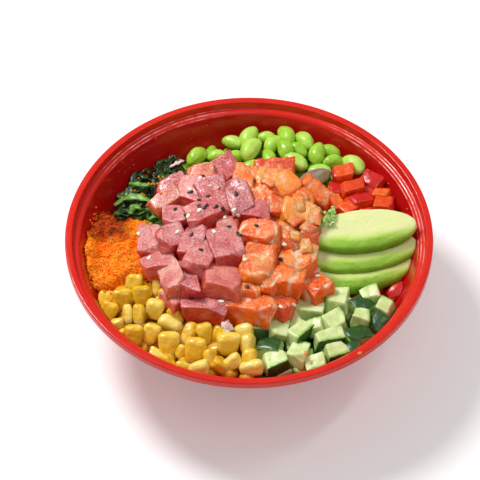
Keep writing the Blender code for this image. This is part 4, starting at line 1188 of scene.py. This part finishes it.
def avocado_slice(number, row, finish):
    """One peeled slice: two flat cut faces, and between them the rounded side that was under the skin."""
    x, y, z, yaw = row
    segments, side_rings, face_rings = AVOCADO_SEGMENTS, 14, 18
    angles = np.arange(segments) * 2 * math.pi / segments
    rows, greens = [], []
    near = smooth_step(-0.25, 0.85, -np.sin(angles))  # 1 on the side nearest the eater, 0 on the far side
    thin = END_TAPER * np.abs(np.cos(angles)) ** 4

    def face_ring(height, inward):
        ring = avocado_outline(height, angles, near)
        ring[:, :2] *= 1 - inward
        depth = inward * AVOCADO_HALF_WIDTH * 0.75
        if not height:
            ring[:, 2] += thin * (1 - inward)
        else:
            ring[:, 2] -= NEAR_DROOP * near * (1 - smooth_step(0.0, 4.0, depth)) ** 1.5
        rows.append(ring)
        greens.append(RIM_GREEN * near * (1 - smooth_step(0.0, 1.0, depth / (0.8 + 7.5 * near))))

    for inward in np.geomspace(*FACE_SPAN[::-1], face_rings):
        face_ring(SLICE_THICKNESS, inward)
    for t in np.linspace(0, 1, side_rings):
        height = SLICE_THICKNESS * (1 - t)
        ring = avocado_outline(height, angles, near)
        pinch = 0.45 * (math.exp(-((1 - t) / 0.08) ** 2) + math.exp(-(t / 0.08) ** 2))
        ring[:, :2] *= 1 - pinch / AVOCADO_HALF_WIDTH
        ring[:, 2] -= NEAR_DROOP * near * (1 - t) ** 2
        ring[:, 2] += thin * t
        rows.append(ring)
        # the side is green as the flesh under the skin is, and darker towards its lower edge as painted
        # shade
        greens.append(near * (RIM_GREEN + 0.36 * smooth_step(0.0, 0.9, t)))
    for inward in np.geomspace(*FACE_SPAN, 8):
        face_ring(0.0, inward)
    points, green = np.concatenate(rows), np.maximum(np.concatenate(greens), AVOCADO_GREEN[number - 1])
    faces = [face[::-1] for face in grid_faces(len(rows), segments, closed=True)]
    faces.append(list(range(segments)))
    faces.append(list(range(len(points) - 1, len(points) - segments - 1, -1)))
    out = points / np.linalg.norm(points, axis=1)[:, None]
    rise = 0.4 * noise_at(points, 0.10, number, 3) + 0.15 * noise_at(points, 0.4, number + 9, 3)
    points += out * rise[:, None]
    rotation = turn((0, 0, yaw)) @ turn((SLICE_TILT, 0, 0))
    piece = Heap().add(points @ rotation.T + (x, y, z), faces, points, 0.5, green)
    return piece.build(f"avocado_wedge_{number}", finish, "avocado", [f"avocado_slice_{number}"])


def make_onion():
    """A thin bent leaf of red onion."""
    unit, quads = ball(FINE)
    points = unit / 2 * (np.array(ONION_SIZE) * (1, 1, 0.8))
    points[:, 2] -= ONION_BEND * unit[:, 0] ** 2
    points[:, 2] += 0.4 * noise_at(points, 0.25, 77, 2)
    rotation = turn((0, 0, ONION_YAW)) @ turn((ONION_TILT, 0, 0))
    edge = smooth_step(-0.2, 0.9, unit[:, 1])
    leaf = Heap().add(points @ rotation.T + ONION_PLACE, quads, points, 0.5, edge)
    leaf.build("onion_leaf", onion_finish(), "onion", ["red_onion_slice"])


# ---------------- roe and seaweed


def heap_top(name, x, y, lump, seed):
    """Height of a lumpy heap's surface."""
    radius, angle = polar(x, y)
    rise = lump * noise.fractal(Vector((x * 0.11 + seed, y * 0.11, seed)), 1.0, 2.0, 3)
    return core_height(name, radius, angle) + rise


def roe_height(x, y):
    """Height of the roe. It slopes off to both sides, is smeared up the wall and crumbles at its edges."""
    radius, angle = polar(x, y)
    start, end = SECTORS["masago"]
    z = heap_top("masago", x, y, 1.3, 3) + 0.5 * noise.fractal(Vector((x, y, 3.0)) * 0.33, 1.0, 2.0, 2)
    side = min(angle - start, 1.6 * (end - angle)) * math.pi / 180 * radius
    edge = max(side, 0.0) + 4.0 * noise.noise(Vector((x, y, 9.0)) * 0.16)
    ragged = ROE_EDGE_RADIUS + 3.0 * noise.noise(Vector((x, y, 15.0)) * 0.20)
    aside = abs(angle - SMEAR_ANGLE)
    smear = SMEAR_HEIGHT * smooth_step(78.0, 90.0, radius) * (1 - smooth_step(4.0, 16.0, aside))
    hills = 2.2 * noise.noise(Vector((x, y, 21.0)) * 0.085)
    hills += 2.6 * (0.5 - min(noise.voronoi(Vector((x, y, 0.0)) * 0.24)[0][0], 1.0))
    z += float(smear) + hills - 4.5 * (1 - smooth_step(0.0, 9.0, edge)) ** 2
    return z - 4.0 * smooth_step(0.0, 5.0, radius - ragged)


def roe_shade(x, y):
    """1 where the roe is darker, next to the seaweed and out near the wall, 0 elsewhere."""
    radius, angle = polar(x, y)
    wander = 6 * noise.noise(Vector((x, y, 0.0)) * 0.09)
    dark_share = smooth_step(178.0, 170.0, angle + wander) * smooth_step(62.0, 72.0, radius + wander)
    return 0.95 * float(dark_share)


def standing_out(heights):
    """How far each height of a grid lies above the mean of those around it."""
    reach = 3
    padded = np.pad(heights, reach, mode="edge")
    rows, columns = heights.shape
    span = range(2 * reach + 1)
    return heights - sum(padded[i:i + rows, j:j + columns] for i in span for j in span) / len(span) ** 2


def make_masago():
    """Fish roe: a crumbly mound with loose grains on it, darker next to the seaweed."""
    start, end = SECTORS["masago"]
    columns, rings = ROE_COLUMNS, ROE_RINGS
    top, low, shades = [], [], []
    for i in range(columns + 1):
        angle = math.radians(start + 0.4 + (end - start - 0.8) * i / columns)
        for j in range(rings + 1):
            radius = HEAP_INNER_RADIUS + (ROE_RADIUS - HEAP_INNER_RADIUS) * j / rings
            z = roe_height(*around(radius, angle))
            upper = min(radius, wall_radius(z) - HEAP_WALL_GAP)
            lower = min(radius, wall_radius(RICE_RING_Z + 0.6) - HEAP_WALL_GAP)
            x, y = around(upper, angle)
            distance = noise.voronoi(Vector((x, y, z)) * ROE_CELLS)[0][0]
            top.append((x, y, z + 0.22 * (0.5 - min(distance, 1.0))))
            low.append((*around(lower, angle), RICE_RING_Z + 0.6))
            shades.append(roe_shade(x, y))
    points, faces = slab(np.array(top), np.array(low), columns + 1, rings + 1)
    # painted shade and light: the bed is darker in its hollows and paler where it stands out
    tone = np.clip(0.50 + 1.1 * standing_out(np.array(top)[:, 2].reshape(columns + 1, rings + 1)), 0.0, 1.0)
    finish = roe_finish()
    bed = Heap().add(points, faces, points, np.tile(tone.ravel(), 2), np.array(shades * 2))
    bed_piece = bed.build("masago_bed", finish, "masago", ["masago_heap"])
    heap = Heap()
    draw = random.Random(41)
    points, quads = small_ball()
    for _ in range(ROE_TRIES):
        radius = math.sqrt(draw.uniform((HEAP_INNER_RADIUS + 6) ** 2, 90.5 ** 2))
        angle = math.radians(draw.uniform(start - 0.3, end + 0.3))
        x, y = around(radius, angle)
        z = roe_height(x, y)
        clump = noise.noise(Vector((x, y, 40.0)) * 0.30)
        if radius > wall_radius(z) - 0.6 or clump < draw.uniform(-1.0, 0.0):
            continue
        rise = max(clump, 0.0) * draw.uniform(0.0, 1.5) - 0.1
        size = draw.uniform(*ROE_HALF_SIZES)
        # each grain's own tone; the palest ones also stand in as painted glints
        tone = draw.choice((0.05, 0.3, 0.45, 0.6, 0.7, 0.85, 1.1))
        heap.add(points * size + (x, y, z + rise), quads, points, tone, roe_shade(x, y))
    for _ in range(WALL_GRAINS):
        angle = math.radians(draw.uniform(162.0, 196.0))
        z = draw.uniform(44.0, 46.5) + abs(draw.gauss(0.0, 1.8))
        radius = wall_radius(z) - 0.6
        placed = points * draw.uniform(*ROE_HALF_SIZES) + (*around(radius, angle), z)
        heap.add(placed, quads, points, draw.uniform(0.3, 1.0), draw.uniform(0.0, 0.5))
    for x, y, z in WALL_ROE:
        heap.add(points * 0.55 + (x, y, z), quads, points, 0.4)
    heap.build("masago_grains", finish, "masago")
    return bed_piece, finish


def strew_roe(finish):
    """Grains of roe that fell on the seaweed and the corn."""
    heap = Heap()
    draw = random.Random(42)
    points, quads = ball(GRAIN_STEPS)
    for x, y in STRAY_ROE:
        for _ in range(draw.choice((1, 1, 2, 3))):
            place = (x + draw.uniform(-1.2, 1.2), y + draw.uniform(-1.2, 1.2))
            z, _ = SURFACE.hit(*place)
            heap.add(points * 0.6 + (*place, z + 0.4), quads, points, draw.uniform(0.3, 0.7))
    heap.build("stray_roe", finish, "masago")


def seaweed_path(x, y, heading, length, lift, draw):
    """A path that wanders over the seaweed heap, and turns back at its borders."""
    start, end = SECTORS["wakame"]
    bend = draw.uniform(-0.16, 0.16)
    path = []
    for i in range(int(length)):
        radius, angle = polar(x, y)
        z = heap_top("wakame", x, y, 1.5, 8) + lift + 0.9 * math.sin(i * 0.55 + lift * 5)
        limit = wall_radius(z) - 3.0
        if radius > limit:
            x, y = x * limit / radius, y * limit / radius
            heading += 0.8
        last = end + SEAWEED_OVERLAP if radius < OVERLAP_RADIUS else end - 1
        if not start + 3 < angle < last or radius < HEAP_INNER_RADIUS + 4:
            heading += 0.9
        path.append((x, y, max(z, roe_height(x, y) + 0.8) if angle > end else z))
        heading += bend + draw.uniform(-0.25, 0.25)
        x += math.cos(heading)
        y += math.sin(heading)
    return path


def make_wakame(finish):
    """Seaweed salad: a dark bed, ruffled strips that lie over it, thin strands and some bright curls."""
    heap = Heap()
    add_bed(heap, "wakame", drop=2.5, bumps=2.4, seed=51)
    draw = random.Random(52)
    start, end = SECTORS["wakame"]
    for i in range(SEAWEED_STRIPS):
        angle = math.radians(draw.uniform(start + 4, end + 2))
        radius = draw.uniform(HEAP_INNER_RADIUS + 8, SEAWEED_RADIUS)
        x, y = around(radius, angle)
        share = (radius - HEAP_INNER_RADIUS) / (SEAWEED_RADIUS - HEAP_INNER_RADIUS)
        tone = draw.choice((0.0, 0.05, 0.15, 0.3, 0.5, 0.8)) * (1.15 - share)
        length = draw.uniform(12, 26)
        heading = math.radians(draw.gauss(35, 45))
        path = seaweed_path(x, y, heading, length, draw.uniform(0.0, 3.0), draw)
        half = draw.uniform(2.0, 4.2) if i % 3 else draw.uniform(0.5, 0.9)
        widths = [half * math.sin(math.pi * (j + 0.7) / (len(path) + 0.4)) ** 0.5 for j in range(len(path))]
        points, faces = ribbon(path, widths, 0.32 * half, draw.uniform(0, 6), draw.uniform(0.2, 1.0))
        heap.add(points, faces, points, tone)
    for number, (controls, half) in enumerate(BRIGHT_STRIPS):
        path = bezier(controls, 24)
        widths = half * np.sin(np.linspace(0.35, 2.8, 25)) ** 0.5
        points, faces = ribbon(path, widths, 0.35, number, 0.4, 1.1)
        heap.add(points, faces, points, 0.58)
    return heap.build("wakame_strips", finish, "wakame", ["wakame_heap"])


# ---------------- what is strewn on top


class Surface:
    """Finds the height of what lies under a place, from above."""

    def __init__(self):
        self.trees = []

    def cover(self, objects):
        for obj in objects:
            mesh = obj.data
            points = [vert.co for vert in mesh.vertices]
            self.trees.append(BVHTree.FromPolygons(points, [tuple(face.vertices) for face in mesh.polygons]))

    def hit(self, x, y):
        """Height in mm and upward direction of the topmost surface."""
        best, up = 0.0, Vector((0, 0, 1))
        for tree in self.trees:
            place, normal, _, _ = tree.ray_cast(Vector((x, y, 200)) * MM, Vector((0, 0, -1)))
            if place and place.z / MM > best:
                best, up = place.z / MM, normal
        return best, up


SURFACE = Surface()


def lie_on(up, spin):
    """Rotation that lays a flat thing on a slope and spins it."""
    tilt = Vector((0, 0, 1)).rotation_difference(up).to_matrix()
    return np.array(tilt @ Matrix.Rotation(spin, 3, "Z"))


def make_sesame(name, spots, seed, dark, light):
    """Sesame seeds: flat drops that lie on the fish."""
    heap = Heap()
    draw = random.Random(seed)
    grid, quads = ball(SEED_STEPS)
    for x, y in spots:
        z, up = SURFACE.hit(x, y)
        size = np.array(SESAME_SIZE) / 2 * draw.uniform(0.85, 1.1)
        points = grid * size
        points[:, 1] *= 1 - 0.45 * grid[:, 0]  # a drop's pointed end
        rotation = lie_on(up, draw.uniform(0, 2 * math.pi))
        lifted = np.array((x, y, z)) + np.array(up) * size[2] * 0.5
        heap.add(points @ rotation.T + lifted, quads, points, draw.random())
    finish = plain_food(name, dark, light, roughness=0.45, depth=0.3)
    heap.build(name, finish, "rice" if name == "white_sesame" else "wakame")


def lump(heap, place, size, yaw, seed, tone=0.5, steps=COARSE):
    """A small uneven crumb."""
    points, quads = ball(steps)
    points = points * np.array(size) / 2
    points *= (1 + 0.3 * noise_at(points, 2.2 / max(size), seed, 3))[:, None]
    heap.add(points @ turn((0, 0, yaw)).T + place, quads, points, tone)


def make_scraps(finish):
    """Small flat scraps of salmon that came off the cubes and lie on them."""
    heap = Heap()
    draw = random.Random(81)
    for seed, (x, y) in enumerate(SALMON_SCRAPS, 900):
        z, up = SURFACE.hit(x, y)
        size = (draw.uniform(7.0, 11.0), draw.uniform(4.0, 6.5), draw.uniform(2.0, 3.0))
        points, quads, away, _ = block(size, 1.0, seed, COARSE, 0.16)
        points = shave(points, size, 2, draw)
        points[:, 2] -= 0.03 * points[:, 0] ** 2
        relief, fat = flakes(points, seed, draw)
        points += away * (0.3 * relief + 0.3 * noise_at(points, 0.3, seed, 3))[:, None]
        lying = lie_on(up, draw.uniform(0, math.pi))
        rotation = lying @ turn((draw.uniform(-15, 15), draw.uniform(-15, 15), 0))
        lifted = np.array((x, y, z)) + np.array(up) * size[2] * 0.3
        # a skin of 0.8 gives each scrap painted sheen and glints all over
        heap.add(points @ rotation.T + lifted, quads, points * 1.5 + seed, draw.uniform(0.2, 0.9), 0.8, fat)
    return heap.build("salmon_scraps", finish, "salmon")


def make_bits():
    """Loose bits: a lump of rice, a sliver by the wall, a frilly sprig, crumbs, and drops on the wall."""
    draw = random.Random(61)
    clump = Heap()
    for i in range(CLUMP_LUMPS):
        stray = (draw.uniform(-2.4, 2.4), draw.uniform(-1.8, 1.8), draw.uniform(-0.8, 1.4))
        place = [middle + offset for middle, offset in zip(CLUMP_PLACE, stray)]
        lump(clump, place, (5.2, 3.0, 2.8), draw.uniform(0, 180), i, draw.random())
    clump.build("rice_clump", plain_food("pink_rice", (0.78, 0.50, 0.44), (0.92, 0.84, 0.78)), "rice")

    points, faces = ribbon(bezier(SLIVER, 20), 1.3 * np.sin(np.linspace(0.2, 2.9, 21)), 0.5, 1.0)
    sliver = Heap().add(points, faces, points)
    sliver.build("pale_sliver", plain_food("sliver", (0.66, 0.36, 0.34), (0.90, 0.72, 0.68)), "onion")

    sprig = Heap()
    for number, (controls, width) in enumerate(SPRIG_STEMS):
        widths = width * np.sin(np.linspace(0.35, 2.9, 25)) ** 0.6
        points, faces = ribbon(bezier(controls, 24), widths, 0.9, number * 2.0, 0.5, 0.5, 9)
        sprig.add(points, faces, points, draw.uniform(0.3, 0.8))
    for i in range(16):
        at = bezier(SPRIG_STEMS[i % 2][0], 16)[i + 1]
        out = np.array((draw.uniform(-1, 1), draw.uniform(-1, 1), draw.uniform(-0.2, 0.6)))
        path = np.array([at, at + out * 0.7, at + out * 1.4, at + out * 1.9 - (0, 0, 0.3)])
        points, faces = ribbon(path, [0.6, 0.8, 0.7, 0.3], 0.3, i, 0.0, 0.4, 5)
        sprig.add(points, faces, points, draw.uniform(0.2, 1.0))
    sprig.build("green_sprig", plain_food("sprig", (0.20, 0.42, 0.05), (0.55, 0.74, 0.24)), "edamame")

    crumbs = Heap()
    for seed, (place, size, yaw) in enumerate(CRUMBS, 5):
        lump(crumbs, place, size, yaw, seed)
    crumbs.build("crumbs", plain_food("crumb", (0.80, 0.16, 0.01), (0.95, 0.42, 0.10)), "masago")

    drops = Heap()
    for i in range(WALL_DROPS):
        z = draw.uniform(KNEE_Z, WALL_TOP_Z - 1)
        angle = math.radians(draw.choice((draw.uniform(95, 175), draw.uniform(5, 60))))
        place = (*around(wall_radius(z) - 0.1, angle), z)
        size = draw.uniform(0.35, 0.75)
        lump(drops, place, (size, size, size * 1.2), 0, i, draw.random(), GRAIN_STEPS)
    finish = plain_food("wall_drop", (0.62, 0.10, 0.06), (0.80, 0.40, 0.32), roughness=0.15)
    drops.build("wall_drops", finish, "rice", inside=False)


# ---------------- camera, light and floor

CAMERA_ELEVATION, CAMERA_DISTANCE, CAMERA_LENS = 51.1, 2.0, 276.3
CAMERA_AIM = (-0.0049, -0.00175, (BOWL_HEIGHT - 1.41) * MM)
WORLD_STRENGTH, FLOOR_GLOW, FLOOR_HALF_SIZE = 0.33, 0.2, 3.0
LIGHT_AIM = (0, 0, 0.05)  # in metres


def add_light(name, place, size, power, strip=None):
    """A round area light that faces the bowl, or a strip of that width along (direction, length)."""
    data = bpy.data.lights.new(name, "AREA")
    data.shape = "DISK"
    data.size = size
    data.energy = power
    obj = bpy.data.objects.new(name, data)
    bpy.context.scene.collection.objects.link(obj)
    away = (Vector(place) - Vector(LIGHT_AIM)).normalized()
    along = Vector((0, 0, 1))
    if strip:
        data.shape = "RECTANGLE"
        data.size_y = strip[1]
        along = Vector(strip[0])
    along = (along - along.project(away)).normalized()
    facing = Matrix((along.cross(away), along, away)).transposed()
    obj.matrix_world = Matrix.Translation(place) @ facing.to_4x4()


def make_stage():
    """The camera at the photograph's angle, a white floor and soft studio light from the left."""
    scene = bpy.context.scene
    scene.view_settings.view_transform = "Standard"
    world = bpy.data.worlds.new("studio")
    scene.world = world
    world.use_nodes = True
    background = world.node_tree.nodes["Background"]
    background.inputs["Color"].default_value = (1.0, 1.0, 1.0, 1.0)
    background.inputs["Strength"].default_value = WORLD_STRENGTH

    elevation = math.radians(CAMERA_ELEVATION)
    away = Vector((0.0, -math.cos(elevation), math.sin(elevation)))
    data = bpy.data.cameras.new("camera")
    data.lens, data.sensor_width, data.clip_start = CAMERA_LENS, 36.0, 0.01
    camera = bpy.data.objects.new("camera", data)
    scene.collection.objects.link(camera)
    camera.location = Vector(CAMERA_AIM) + away * CAMERA_DISTANCE
    camera.rotation_euler = (-away).to_track_quat("-Z", "Y").to_euler()
    scene.camera = camera

    add_light("key", (-0.60, 0.50, 1.12), size=0.40, power=14.6)
    add_light("front", (0.25, -0.70, 1.5), size=0.9, power=2.2)
    add_light("glint", (0.61, 0.18, 1.12), size=0.05, power=1.7, strip=((0.51, 0.76, -0.41), 0.55))

    bm = bmesh.new()
    bmesh.ops.create_grid(bm, x_segments=1, y_segments=1, size=FLOOR_HALF_SIZE)
    mesh = bpy.data.meshes.new("floor")
    bm.to_mesh(mesh)
    bm.free()
    floor = bpy.data.objects.new("floor", mesh)
    scene.collection.objects.link(floor)
    white = (1.0, 1.0, 1.0, 1.0)
    finish = Finish("floor", Roughness=0.8, Emission_Color=white, Emission_Strength=FLOOR_GLOW)
    paper = finish.room_noise(0.02, 3.0)
    finish.colour(finish.ramp(paper, (0.3, (0.90, 0.90, 0.90)), (0.7, (0.92, 0.92, 0.92))))
    mesh.materials.append(finish.material)


# ---------------- the whole bowl

make_stage()
make_bowl()
make_rice()
make_onion()
fish_finishes = {"tuna": tuna_finish(), "salmon": salmon_finish()}
avocado_material = avocado_finish()
roe_bed, roe_material = make_masago()
SURFACE.cover([
    *make_fish(fish_finishes), make_edamame(bean_finish()), make_corn(corn_finish()),
    make_diced("cucumber", CUCUMBER_DICE, CUCUMBER_SEED, cucumber_finish()),
    make_diced("pepper", PEPPER_DICE, PEPPER_SEED, pepper_finish()),
    make_wakame(wakame_finish()), roe_bed,
    *[avocado_slice(i, row, avocado_material) for i, row in enumerate(AVOCADO_SLICES, 1)],
])
SURFACE.cover([make_scraps(fish_finishes["salmon"])])
strew_roe(roe_material)
make_sesame("black_sesame", BLACK_SESAME, 71, (0.006, 0.006, 0.006), (0.03, 0.03, 0.03))
make_sesame("white_sesame", WHITE_SESAME, 72, (0.80, 0.75, 0.56), (0.95, 0.92, 0.80))
make_bits()
